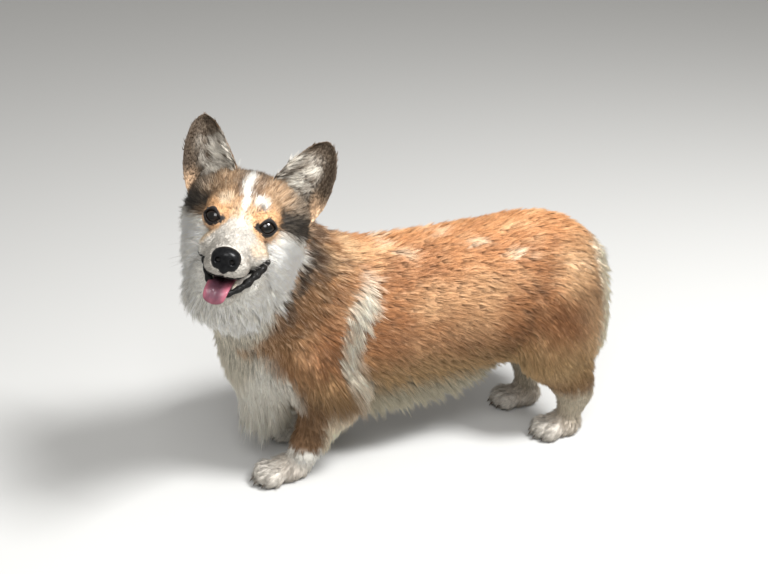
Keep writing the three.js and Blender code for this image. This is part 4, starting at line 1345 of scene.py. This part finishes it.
def coat_tree():
    least_height = 0.0003
    tuft_on_map = 0.003
    t = new_group("Coat of tufts", "GeometryNodeTree")
    t.socket("Geometry", "Geometry", "OUTPUT")
    t.socket("Hide", "Object")
    t.socket("Piece", "Int")
    t.socket("Tufts", "Collection")
    t.socket("Tufts per square metre", "Float")
    t.socket("Uneven length", "Float", default=0.22)
    t.socket("Uneven turn", "Float", default=0.24)
    t.socket("Finish", "Material")
    given = t.start.outputs
    hide_mesh = t.add("GeometryNodeObjectInfo", {"Object": given["Hide"]}).outputs["Geometry"]
    number = t.named("piece", "INT")
    same = t.add("FunctionNodeCompare", {2: number, 3: given["Piece"]}, data_type="INT", operation="EQUAL")
    density = t.sum("MULTIPLY", t.named("growth"), given["Tufts per square metre"])
    spread = t.add("GeometryNodeDistributePointsOnFaces", {
        "Mesh": hide_mesh, "Selection": same.outputs[0], "Density": density, "Seed": 5,
    })
    roots = t.keep(spread.outputs["Points"], "root", t.add("GeometryNodeInputPosition"), "FLOAT_VECTOR")
    roots = t.keep(roots, "clump", t.drawn(0.0, 1.0, 9))
    outward = t.named("hide_normal", "FLOAT_VECTOR")
    axes = {0: outward, 1: t.named("lie", "FLOAT_VECTOR")}
    facing = t.add("FunctionNodeAxesToRotation", axes, primary_axis="Z", secondary_axis="Y")
    lift = t.sum("MULTIPLY", t.named("lift"), t.drawn(0.65, 1.35, 1))
    aside = t.sum("MULTIPLY", given["Uneven turn"], t.drawn(-1.0, 1.0, 2))
    tilt = t.add("ShaderNodeCombineXYZ", {0: lift, 1: 0.0, 2: aside})
    tilted = t.add("FunctionNodeEulerToRotation", {0: tilt})
    turns = {0: facing.outputs[0], 1: tilted.outputs[0]}
    turned = t.add("FunctionNodeRotateRotation", turns, rotation_space="LOCAL")
    shorter = t.sum("SUBTRACT", 1.0, given["Uneven length"])
    longer = t.sum("ADD", 1.0, given["Uneven length"])
    reach = t.sum("MULTIPLY", t.named("long"), t.drawn(shorter, longer, 3))
    across = t.sum("MULTIPLY", t.named("wide"), t.drawn(0.8, 1.2, 4))
    size = t.add("ShaderNodeCombineXYZ", {0: across, 1: reach, 2: reach})
    kinds = t.add("GeometryNodeCollectionInfo", {
        "Collection": given["Tufts"], "Separate Children": True, "Reset Children": True,
    })
    pick = t.add("FunctionNodeRandomValue", {4: 0, 5: tuft_kinds - 1, "Seed": 6}, data_type="INT").outputs[2]
    placed = t.add("GeometryNodeInstanceOnPoints", {
        "Points": roots, "Instance": kinds, "Pick Instance": True, "Instance Index": pick,
        "Rotation": turned, "Scale": size,
    })
    real = t.add("GeometryNodeRealizeInstances", {"Geometry": placed}).outputs[0]

    # Each point keeps its height over the hide, and moves to the hide's nearest place below it.
    at = t.add("GeometryNodeInputPosition").outputs[0]
    root = t.named("root", "FLOAT_VECTOR")
    height = t.vector("DOT_PRODUCT", t.vector("SUBTRACT", at, root), outward)
    low = t.vector("SUBTRACT", at, t.scaled(outward, height))

    def on_hide(value):
        inputs = {"Mesh": hide_mesh, "Value": value, "Sample Position": low}
        return t.add("GeometryNodeSampleNearestSurface", inputs, data_type="FLOAT_VECTOR").outputs[0]

    below = on_hide(t.add("GeometryNodeInputPosition"))
    below_normal = on_hide(outward)
    laid = t.vector("ADD", below, t.scaled(below_normal, height))
    same_side = t.sum("GREATER_THAN", t.vector("DOT_PRODUCT", below_normal, outward), 0.0)
    shift = t.scaled(t.vector("SUBTRACT", laid, at), t.sum("MULTIPLY", t.named("cling"), same_side))
    followed = t.add("GeometryNodeSetPosition", {"Geometry": real, "Offset": shift}).outputs[0]
    turned_normal = t.scaled(t.vector("SUBTRACT", below_normal, outward), same_side)
    smoothed = t.keep(followed, "hide_normal", t.vector("ADD", outward, turned_normal), "FLOAT_VECTOR")
    x, y, z = t.add("ShaderNodeSeparateXYZ", {0: t.add("GeometryNodeInputPosition")}).outputs
    over_floor = t.add("ShaderNodeCombineXYZ", {0: x, 1: y, 2: t.sum("MAXIMUM", z, least_height)})
    smoothed = t.add("GeometryNodeSetPosition", {"Geometry": smoothed, "Position": over_floor}).outputs[0]

    turn_round = t.add("ShaderNodeSeparateXYZ", {0: t.named("turn", "FLOAT_VECTOR")})
    angle = t.sum("ARCTAN2", turn_round.outputs[1], turn_round.outputs[0])
    share = t.sum("ADD", t.sum("DIVIDE", angle, 2 * math.pi), 0.5)
    u = t.sum("ADD", t.named("tile_start"), t.sum("MULTIPLY", share, t.named("tile_width")))
    corner = t.add("ShaderNodeCombineXYZ", {0: u, 1: turn_round.outputs[2]}).outputs[0]
    spot = t.vector("ADD", corner, t.scaled(t.named("place", "FLOAT_VECTOR"), tuft_on_map))
    mapped = t.keep(smoothed, "OFBake", spot, "FLOAT2", "CORNER")
    growing = ("lie", "long", "wide", "lift", "cling", "growth", "root", "piece")
    for name in growing + ("turn", "tile_start", "tile_width", "place"):
        mapped = t.add("GeometryNodeRemoveAttribute", {"Geometry": mapped, "Name": name}).outputs[0]
    finished = t.add("GeometryNodeSetMaterial", {"Geometry": mapped, "Material": given["Finish"]})
    t.feed(t.end.inputs[0], finished)
    return t.tree


coat_of_tufts = coat_tree()


def set_inputs(modifier, inputs):
    for socket in modifier.node_group.interface.items_tree:
        if socket.in_out == "INPUT" and socket.name in inputs:
            modifier[socket.identifier] = inputs[socket.name]


# Hair colour: the hide's marking, darker at the root as painted shade deep in the coat, paler to the tip,
# and a little different on each hair
def hair_colour_group():
    t = new_group("Hair colour", "ShaderNodeTree")
    t.socket("Root shade", "Float", default=0.5)
    t.socket("Tip shade", "Float", default=1.1)
    t.socket("Strand difference", "Float", default=0.3)
    t.socket("Clump difference", "Float", default=0.3)
    t.socket("Softness", "Float", default=0.5)
    t.socket("Colour", "Color", "OUTPUT")
    t.socket("Normal", "Vector", "OUTPUT")
    given = t.start.outputs
    coat = t.stored("coat", "Color")
    strand = t.stored("strand")
    # Painted shade: the colour darkens towards the root.
    climb = t.add("ShaderNodeMapRange", {
        "Value": t.stored("along"), "To Min": given["Root shade"], "To Max": given["Tip shade"],
    })
    apart = t.sum("ADD", 1.0, t.sum("MULTIPLY", given["Strand difference"], t.sum("SUBTRACT", strand, 0.5)))
    clump_middle = t.sum("SUBTRACT", t.stored("clump"), 0.5)
    tufted = t.sum("ADD", 1.0, t.sum("MULTIPLY", given["Clump difference"], clump_middle))
    shade = t.sum("MULTIPLY", t.sum("MULTIPLY", climb, apart), tufted)
    dark_hair, pale_hair = (0.045, 0.037, 0.032, 1), (0.72, 0.6, 0.46, 1)
    pale_or_dark = t.mix(t.sum("GREATER_THAN", strand, 0.55), dark_hair, pale_hair)
    odd_hair = t.sum("MULTIPLY", t.stored("grizzled"), t.sum("FRACT", t.sum("MULTIPLY", strand, 7.0)))
    shaded = t.scaled(t.mix(odd_hair, coat, pale_or_dark), shade)
    t.feed(t.end.inputs["Colour"], t.vector("MINIMUM", shaded, (0.92, 0.92, 0.92)))
    flat = t.add("ShaderNodeNewGeometry").outputs["Normal"]
    turned = t.vector("SUBTRACT", t.stored("hide_normal", "Vector"), flat)
    softer = t.vector("ADD", flat, t.scaled(turned, given["Softness"]))
    t.feed(t.end.inputs["Normal"], t.vector("NORMALIZE", softer))
    return t.tree


hair_colour = hair_colour_group()


def new_finish(name, roughness, specular, coat=0.0, coat_roughness=0.03):
    """A material's tree, with the even values on its shader's own sockets."""
    material = bpy.data.materials.new(name)
    material.use_nodes = True
    t = Tree(material.node_tree)
    t.material = material
    t.shader = t.tree.nodes["Principled BSDF"].inputs
    t.shader["Roughness"].default_value = roughness
    t.shader["Specular IOR Level"].default_value = specular
    t.shader["Coat Weight"].default_value = coat
    t.shader["Coat Roughness"].default_value = coat_roughness
    return t


def set_piece(name, mesh, finish):
    """Puts a finished piece into the scene, on the model's one body."""
    made = link(name, mesh)
    mesh.shade_smooth()
    mesh.materials.append(finish.material)
    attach(made, "root")
    return made


def coat_material(name, root_shade, tip_shade, difference, clumps, softness, roughness):
    t = new_finish(name, roughness, 0.25)
    hairs = t.add("ShaderNodeGroup", node_tree=hair_colour)
    for socket, value in zip(hairs.inputs, (root_shade, tip_shade, difference, clumps, softness)):
        socket.default_value = value
    t.feed(t.shader["Base Color"], hairs.outputs["Colour"])
    t.feed(t.shader["Normal"], hairs.outputs["Normal"])
    return t.material


long_coat = coat_material("long_coat", 0.6, 1.15, 0.6, 0.2, 0.6, 0.6)
white_coat = coat_material("white_coat", 0.93, 1.15, 0.3, 0.12, 0.6, 0.65)
short_coat = coat_material("short_coat", 0.65, 1.1, 0.6, 0.2, 0.55, 0.6)
slots = {
    "coat_face": "coat_sable", "coat_ears": "ear_coat", "coat_ruff": "coat_sable", "coat_feet": "coat_white",
}
for name in coat_triangles:
    short = name in ("coat_face", "coat_ears", "coat_feet")
    pale = name in ("coat_cheeks", "coat_bib", "coat_belly")
    per_tuft = triangles_of_hair * (short_hairs if short else long_hairs)
    room = (face_area * face_growth)[face_label == coat_number[name]].sum()
    coat_piece = link(name, bpy.data.meshes.new(name))
    growing = coat_piece.modifiers.new("coat", "NODES")
    growing.node_group = coat_of_tufts
    set_inputs(growing, {
        "Hide": skin,
        "Piece": coat_number[name],
        "Tufts": short_tufts if short else long_tufts,
        "Tufts per square metre": coat_triangles[name] / per_tuft / room,
        "Finish": short_coat if short else white_coat if pale else long_coat,
    })
    as_plain_mesh(coat_piece)
    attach(coat_piece, "root")
    slots.get(name, "coat_white" if pale else "coat_red")

# Hide under the coat: the same markings, darker as painted shade between the hairs, with a fine nap
hide_finish = new_finish("hide", 0.8, 0.5)
nap = hide_finish.noise(700)
nap_shade = hide_finish.add("ShaderNodeMapRange", {"Value": nap, "To Min": 0.45, "To Max": 0.9})
shaded_coat = hide_finish.scaled(hide_finish.stored("coat", "Color"), nap_shade)
hide_finish.feed(hide_finish.shader["Base Color"], shaded_coat)
hide_finish.rise_with(nap, 0.0008, 0.5)
skin.data.materials.clear()
skin.data.materials.append(hide_finish.material)
skin.data.shade_smooth()
flesh = ["head", "lower_jaw", "neck", "torso", "tail"]
flesh_of_side = ("ear", "upper_arm", "forearm", "fore_paw", "thigh", "hock", "hind_paw")
for which in ("left", "right"):
    flesh += [which + "_" + each for each in flesh_of_side]
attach(skin, "root")
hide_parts(*flesh)

# Eyes
# Wet balls of very dark brown, set under the lids, with a black pupil in a slightly paler iris. Each is a
# closed ball whose rows of points run round the gaze.
def ball_mesh(name, centre, pole, radius, rows, columns):
    aside = np.cross(pole, (0, 0, 1))
    aside /= np.linalg.norm(aside)
    over = np.cross(aside, pole)
    rings = []
    for tilt in np.linspace(0, math.pi, rows + 1)[1:-1]:
        angles = np.linspace(0, 2 * math.pi, columns, endpoint=False)
        ring = np.outer(np.cos(angles), aside) + np.outer(np.sin(angles), over)
        rings.append(centre + radius * (math.cos(tilt) * pole + math.sin(tilt) * ring))
    return closed_mesh(name, *loft(np.array(rings)))


eye_finish = new_finish("wet_eye", 0.2, 0.25, 0.3)
iris_ramp = eye_finish.add("ShaderNodeValToRGB", {"Fac": eye_finish.stored("from_pupil")})
iris_stops = iris_ramp.color_ramp.elements
iris_stops[0].position = 0.36
iris_stops[0].color = (0.003, 0.0025, 0.002, 1)
iris_stops[1].position = 0.42
iris_stops[1].color = (0.011, 0.006, 0.0035, 1)
iris_stops.new(0.66).color = (0.006, 0.0035, 0.002, 1)
iris_stops.new(0.76).color = (0.002, 0.0015, 0.0015, 1)
eye_finish.feed(eye_finish.shader["Base Color"], iris_ramp)
for eye, which in zip(eye_places, ("left", "right")):
    centre = in_body(eye.centre)
    pole = eye.gaze @ head_turn.T
    ball_net = ball_mesh("eye", centre, pole, eye_radius - 0.0001, 40, 48)
    away = (points_of(ball_net) - centre) @ pole / eye_radius
    store(ball_net, "from_pupil", "FLOAT", np.arccos(np.clip(away, -1, 1)))
    ball = set_piece(which + "_eye_ball", ball_net, eye_finish)
    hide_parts(which + "_eye")


def tube(name, path, radii, corners, closed):
    """A tube along a path; a closed one has no ends."""
    count = len(path)
    path = np.array(path)
    if closed:
        tangents = np.roll(path, -1, axis=0) - np.roll(path, 1, axis=0)
    else:
        tangents = np.gradient(path, axis=0)
    tangents /= np.linalg.norm(tangents, axis=1)[:, None]
    aside = np.cross(tangents, (0.13, 0.2, 1))
    aside /= np.linalg.norm(aside, axis=1)[:, None]
    over = np.cross(tangents, aside)
    angles = np.linspace(0, 2 * math.pi, corners, endpoint=False)
    rings = path[:, None] + np.array(radii)[:, None, None] * (
        np.cos(angles)[None, :, None] * aside[:, None] + np.sin(angles)[None, :, None] * over[:, None]
    )
    points, faces = loft(rings)
    if closed:
        faces = faces[:-2]
        last = (count - 1) * corners
        faces += [(last + j, last + (j + 1) % corners, (j + 1) % corners, j) for j in range(corners)]
    return closed_mesh(name, points, faces)


# Mottled colour: two colours of one stuff in soft spots, and the height of the same spots
def mottled_group():
    t = new_group("Mottled colour", "ShaderNodeTree")
    t.socket("Spots per metre", "Float", default=200)
    t.socket("Dark colour", "Color")
    t.socket("Pale colour", "Color")
    t.socket("Colour", "Color", "OUTPUT")
    t.socket("Height", "Float", "OUTPUT")
    given = t.start.outputs
    where = t.add("ShaderNodeTexCoord").outputs["Object"]
    spots = t.add("ShaderNodeTexNoise", {"Vector": where, "Scale": given["Spots per metre"]}).outputs["Fac"]
    share = t.add("ShaderNodeMapRange", {"Value": spots, "From Min": 0.3, "From Max": 0.7}).outputs["Result"]
    t.feed(t.end.inputs["Colour"], t.mix(share, given["Dark colour"], given["Pale colour"]))
    t.feed(t.end.inputs["Height"], share)
    return t.tree


mottled_colour = mottled_group()


def mottle(t, spots, dark, pale, bump=0.0):
    """Gives a finish its mottled colour, and with a bump its rise and fall in metres."""
    colours = {"Spots per metre": spots, "Dark colour": (*dark, 1), "Pale colour": (*pale, 1)}
    group = t.add("ShaderNodeGroup", colours, node_tree=mottled_colour)
    t.feed(t.shader["Base Color"], group.outputs["Colour"])
    if bump:
        t.rise_with(group.outputs["Height"], bump)
    return group


# Lids' rims: the black, hairless edges of both lids, from corner to corner
rim_finish = new_finish("black_rim", 0.6, 0.1)
mottle(rim_finish, 900, (0.006, 0.005, 0.005), (0.018, 0.015, 0.014), 0.0001)
for eye, which in zip(eye_places, ("left", "right")):
    on_ball = eye_radius + 0.55 * lid_thickness
    shares = np.linspace(0, 1, 25)[:-1]
    upper = [eye.rim(t, 1.3, on_ball) for t in shares]
    lower = [eye.rim(1 - t, -1.2, on_ball) for t in shares]
    thick = [0.0006 + 0.0005 * math.sin(math.pi * t) for t in shares]
    rim = tube("rim", in_body(np.array(upper + lower)), thick + thick, 8, True)
    set_piece(which + "_lid_rim", rim, rim_finish)

# Lips
# Black, hairless and wavy: a thick lower lip round the jaw from corner to corner, and a thin edge on the
# upper one. Each is a tube laid along the mouth's edge.
def upper_lip_place(s, front):
    """Where the muzzle's side meets the palate's line, found by halving."""
    low, high = 0.0, 0.3
    up = np.interp(front, palate_line[:, 0], palate_line[:, 1])
    for _ in range(24):
        x = (low + high) / 2
        place = np.array([[s * x * head_length, -front * head_length / 100, up * head_length / 100]])
        low, high = (low, x) if skull_form(place)[0] > 0 else (x, high)
    return (s * low * head_length, -front * head_length / 100, up * head_length / 100)


lip_finish = new_finish("black_lip", 0.5, 0.1, 0.05)
mottle(lip_finish, 420, (0.003, 0.003, 0.003), (0.012, 0.011, 0.01), 0.0006)
left_path, left_radii = lip_path(1, 60)
right_path, right_radii = lip_path(-1, 60)
whole_path = np.concatenate([left_path, right_path[-2::-1]])
whole_radii = np.concatenate([left_radii, right_radii[-2::-1]])
waves = 1 + 0.16 * np.sin(np.linspace(0, 24 * math.pi, len(whole_path)))
upper_path = [upper_lip_place(1, front) for front in np.linspace(31, 59, 30)]
upper_path += [upper_lip_place(-1, front) for front in np.linspace(59, 31, 30)]
lips = {
    "lower_lip": (whole_path, whole_radii * waves, 12),
    "upper_lip": (np.array(upper_path), np.full(60, 0.0011), 8),
}
for name, (path, radii, corners) in lips.items():
    set_piece(name, tube(name, in_body(path), radii, corners, False), lip_finish)

# Nose
# Damp black leather with two comma-shaped nostrils and a groove between them, pebbled all over. A fine net
# of points is laid on its form.
def nostril_form(s):
    return blend(
        0.002,
        limb(face(s * 4.2, 71.4, -15.4), 0.0032, face(s * 4, 64.4, -15.2), 0.002),
        limb(face(s * 6.8, 70.4, -17.6), 0.002, face(s * 4.6, 66.9, -16.2), 0.002),
    )


nostrils = both_sides(nostril_form)
groove = limb(face(0, 70.2, -14.5), 0.0006, face(0, 68, -23), 0.0008)


def nose_form(points):
    q = to_head(points)
    whole = nose_field(q) + 0.0012
    for hole in nostrils:
        whole = -smooth_union(0.0015, -whole, hole(q))
    return -smooth_union(0.0012, -whole, groove(q))


nose_low, nose_high = (np.array(corner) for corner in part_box("nose"))
nose_points, nose_faces = net_over(nose_form, nose_low - 0.003, nose_high + 0.003, 0.0008)
nose_points = evened(nose_points, nose_faces, nose_form, 2)
nose_finish = new_finish("nose_leather", 0.4, 0.05, 0.14, 0.2)
mottle(nose_finish, 300, (0.0025, 0.0025, 0.003), (0.007, 0.007, 0.0075))
where = nose_finish.add("ShaderNodeTexCoord").outputs["Object"]
pebbles = nose_finish.add("ShaderNodeTexVoronoi", {"Vector": where, "Scale": 950})
nose_finish.rise_with(pebbles.outputs["Distance"], 0.0005, 0.5, invert=True)
nose = set_piece("nose_pad", mesh_of("nose_pad", nose_points, nose_faces), nose_finish)
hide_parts("nose")

# Tongue
# Soft and wet, lying in the jaw and hanging over its front, with a groove along its middle and edges that
# curl up. It is lofted through rings from its root to its tip.
tongue_places = (
    (0, 30, -26.5), (-0.6, 42, -29), (-1.4, 50, -30.4),
    (-2.2, 55.4, -33.4), (-2.9, 57, -38), (-3.2, 56.4, -41.6),
)
tongue_rings = []
for t in 1 - np.linspace(1, 0, 48) ** 1.5:
    places = [face(*place) for place in tongue_places]
    middle = curve_point(places, t)
    along = curve_point(places, min(t + 0.01, 1)) - curve_point(places, max(t - 0.01, 0))
    along /= np.linalg.norm(along)
    across = np.array((1.0, 0, 0)) - along[0] * along
    across /= np.linalg.norm(across)
    over = np.cross(along, across)
    end = math.sqrt(max(0.002, 1 - max(0, (t - 0.78) / 0.22) ** 2))
    half = head_length * (0.058 + 0.012 * math.sin(math.pi * min(t * 1.1, 1))) * end
    thick = head_length * 0.016 * max(0.2, end)
    ring = []
    for angle in np.linspace(0, 2 * math.pi, 28, endpoint=False):
        x, z = math.cos(angle), math.sin(angle)
        dip = 0.6 * z * math.exp(-((x / 0.2) ** 2)) if z > 0 else 0
        curl = 0.9 * x * x * (1 - 0.6 * t)
        ring.append(middle + across * half * x + over * thick * (z - dip + curl))
    tongue_rings.append(ring)
tongue_net = ring_mesh("tongue", np.array(tongue_rings))
on_tongue = to_head(points_of(tongue_net)) / head_length * 100
from_middle = np.abs(on_tongue[:, 0] - np.interp(-on_tongue[:, 1], (30, 57), (0, -3))) / 7
tongue_pink = np.maximum(smooth_step(0.35, 0.95, from_middle), 0.7 * smooth_step(-37, -42, on_tongue[:, 2]))
store(tongue_net, "pink", "FLOAT", tongue_pink)
tongue_finish = new_finish("wet_tongue", 0.38, 0.2, 0.22)
purple = mottle(tongue_finish, 1400, (0.085, 0.035, 0.05), (0.13, 0.05, 0.07), 0.0002)
pink_share = tongue_finish.stored("pink")
pinker = tongue_finish.mix(pink_share, purple.outputs["Colour"], (0.31, 0.09, 0.125, 1))
tongue_finish.feed(tongue_finish.shader["Base Color"], pinker)
tongue_finish.shader["Subsurface Weight"].default_value = 0.15
tongue_finish.shader["Subsurface Radius"].default_value = (0.004, 0.0015, 0.001)
tongue = set_piece("tongue_piece", tongue_net, tongue_finish)
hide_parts("tongue")

# Teeth
# The two lower canines of pale ivory, slightly hooked, standing up from the jaw beside the tongue. Each is a
# closed tube that thins towards its tip.
def canine(sign):
    shares = np.linspace(0, 1, 10)
    path = [face(sign * (6 + t), 48.4 - 1.6 * t * t, -32.6 + 6 * t) for t in shares]
    return tube("canine", in_body(np.array(path)), head_length * 0.012 * (1 - 0.85 * shares**2), 12, False)


tooth_finish = new_finish("ivory_tooth", 0.25, 0.2, 0.4)
mottle(tooth_finish, 220, (0.66, 0.56, 0.4), (0.84, 0.78, 0.66))
for sign, which in ((1, "left"), (-1, "right")):
    set_piece(which + "_canine", canine(sign), tooth_finish)

# Claws
# Sixteen, of dark horn with paler spots. They keep the shape that they have in the solids and get a finish
# of their own.
claw_finish = new_finish("dark_horn", 0.35, 0.2, 0.2)
mottle(claw_finish, 500, (0.03, 0.024, 0.02), (0.15, 0.12, 0.095), 0.0001)
for made in bpy.data.objects:
    if "_claw_" in made.name and made.type == "MESH":
        made.data.materials.clear()
        made.data.materials.append(claw_finish.material)

# Whiskers
# Stiff grey hairs in rows on both sides of the muzzle, sagging a little. Each is a thin closed tube that
# starts under the hide and thins towards its tip.
draw = np.random.default_rng(12)
whisker_finish = new_finish("whisker", 0.4, 0.2, 0.2)
mottle(whisker_finish, 120, (0.2, 0.18, 0.17), (0.5, 0.48, 0.45))
for sign, which in ((1, "left"), (-1, "right")):
    starts = [(14, 40 - 4.2 * i, -13 - 3 * j) for j in range(3) for i in range(4)]
    hairs = []
    for x, front, rise in starts:
        start = face(sign * x, front, rise)
        for _ in range(3):
            field = skull_form(start[None])[0]
            slope = slopes(skull_form, start[None], np.array([field]))[0]
            start = start - field * slope
        way = np.array((sign * draw.uniform(0.7, 1.1), draw.uniform(0.25, 0.6), draw.uniform(-0.35, 0.25)))
        long = draw.uniform(0.028, 0.046)
        shares = np.linspace(-0.04, 1, 9)
        sag = np.array((0, 0.25, -0.35)) * long
        path = [start + way / np.linalg.norm(way) * long * t + sag * max(t, 0) ** 2 * 0.6 for t in shares]
        radii = 0.00022 * (1 - 0.92 * np.maximum(shares, 0))
        hairs.append(tube("hair", in_body(np.array(path)), radii, 5, False))
    joined = bmesh.new()
    for each in hairs:
        joined.from_mesh(each)
    whole = bpy.data.meshes.new("whiskers")
    joined.to_mesh(whole)
    joined.free()
    set_piece(which + "_whiskers", whole, whisker_finish)

# Floor and light
# A plain pale floor, a lamp high behind the dog on its left, and a weaker one off its left shoulder. None of
# them is part of the model.
floor_corners = np.array(((-20, -20, 0), (20, -20, 0), (20, 20, 0), (-20, 20, 0)))
floor = link("floor", mesh_of("floor", floor_corners, np.array([[0, 1, 2, 3]])))
floor_finish = new_finish("pale_floor", 0.9, 0.5)
floor_finish.shader["Base Color"].default_value = (0.5, 0.5, 0.49, 1)
floor.data.materials.append(floor_finish.material)


def area_light(name, place, size, power):
    data = bpy.data.lights.new(name, "AREA")
    data.size = size
    data.energy = power
    made = bpy.data.objects.new(name, data)
    made.location = place
    made.rotation_euler = (Vector(place) - Vector((0, 0, 0.2))).to_track_quat("Z", "Y").to_euler()
    bpy.context.scene.collection.objects.link(made)


area_light("high_light", (1.15, 1.0, 2.25), 0.7, 122)
area_light("front_light", (1.6, -0.6, 1.9), 1.0, 34)
world = bpy.data.worlds.new("studio")
world.use_nodes = True
world.node_tree.nodes["Background"].inputs["Color"].default_value = (1, 0.98, 0.95, 1)
world.node_tree.nodes["Background"].inputs["Strength"].default_value = 0.5
bpy.context.scene.world = world
bpy.context.scene.view_settings.view_transform = "Standard"
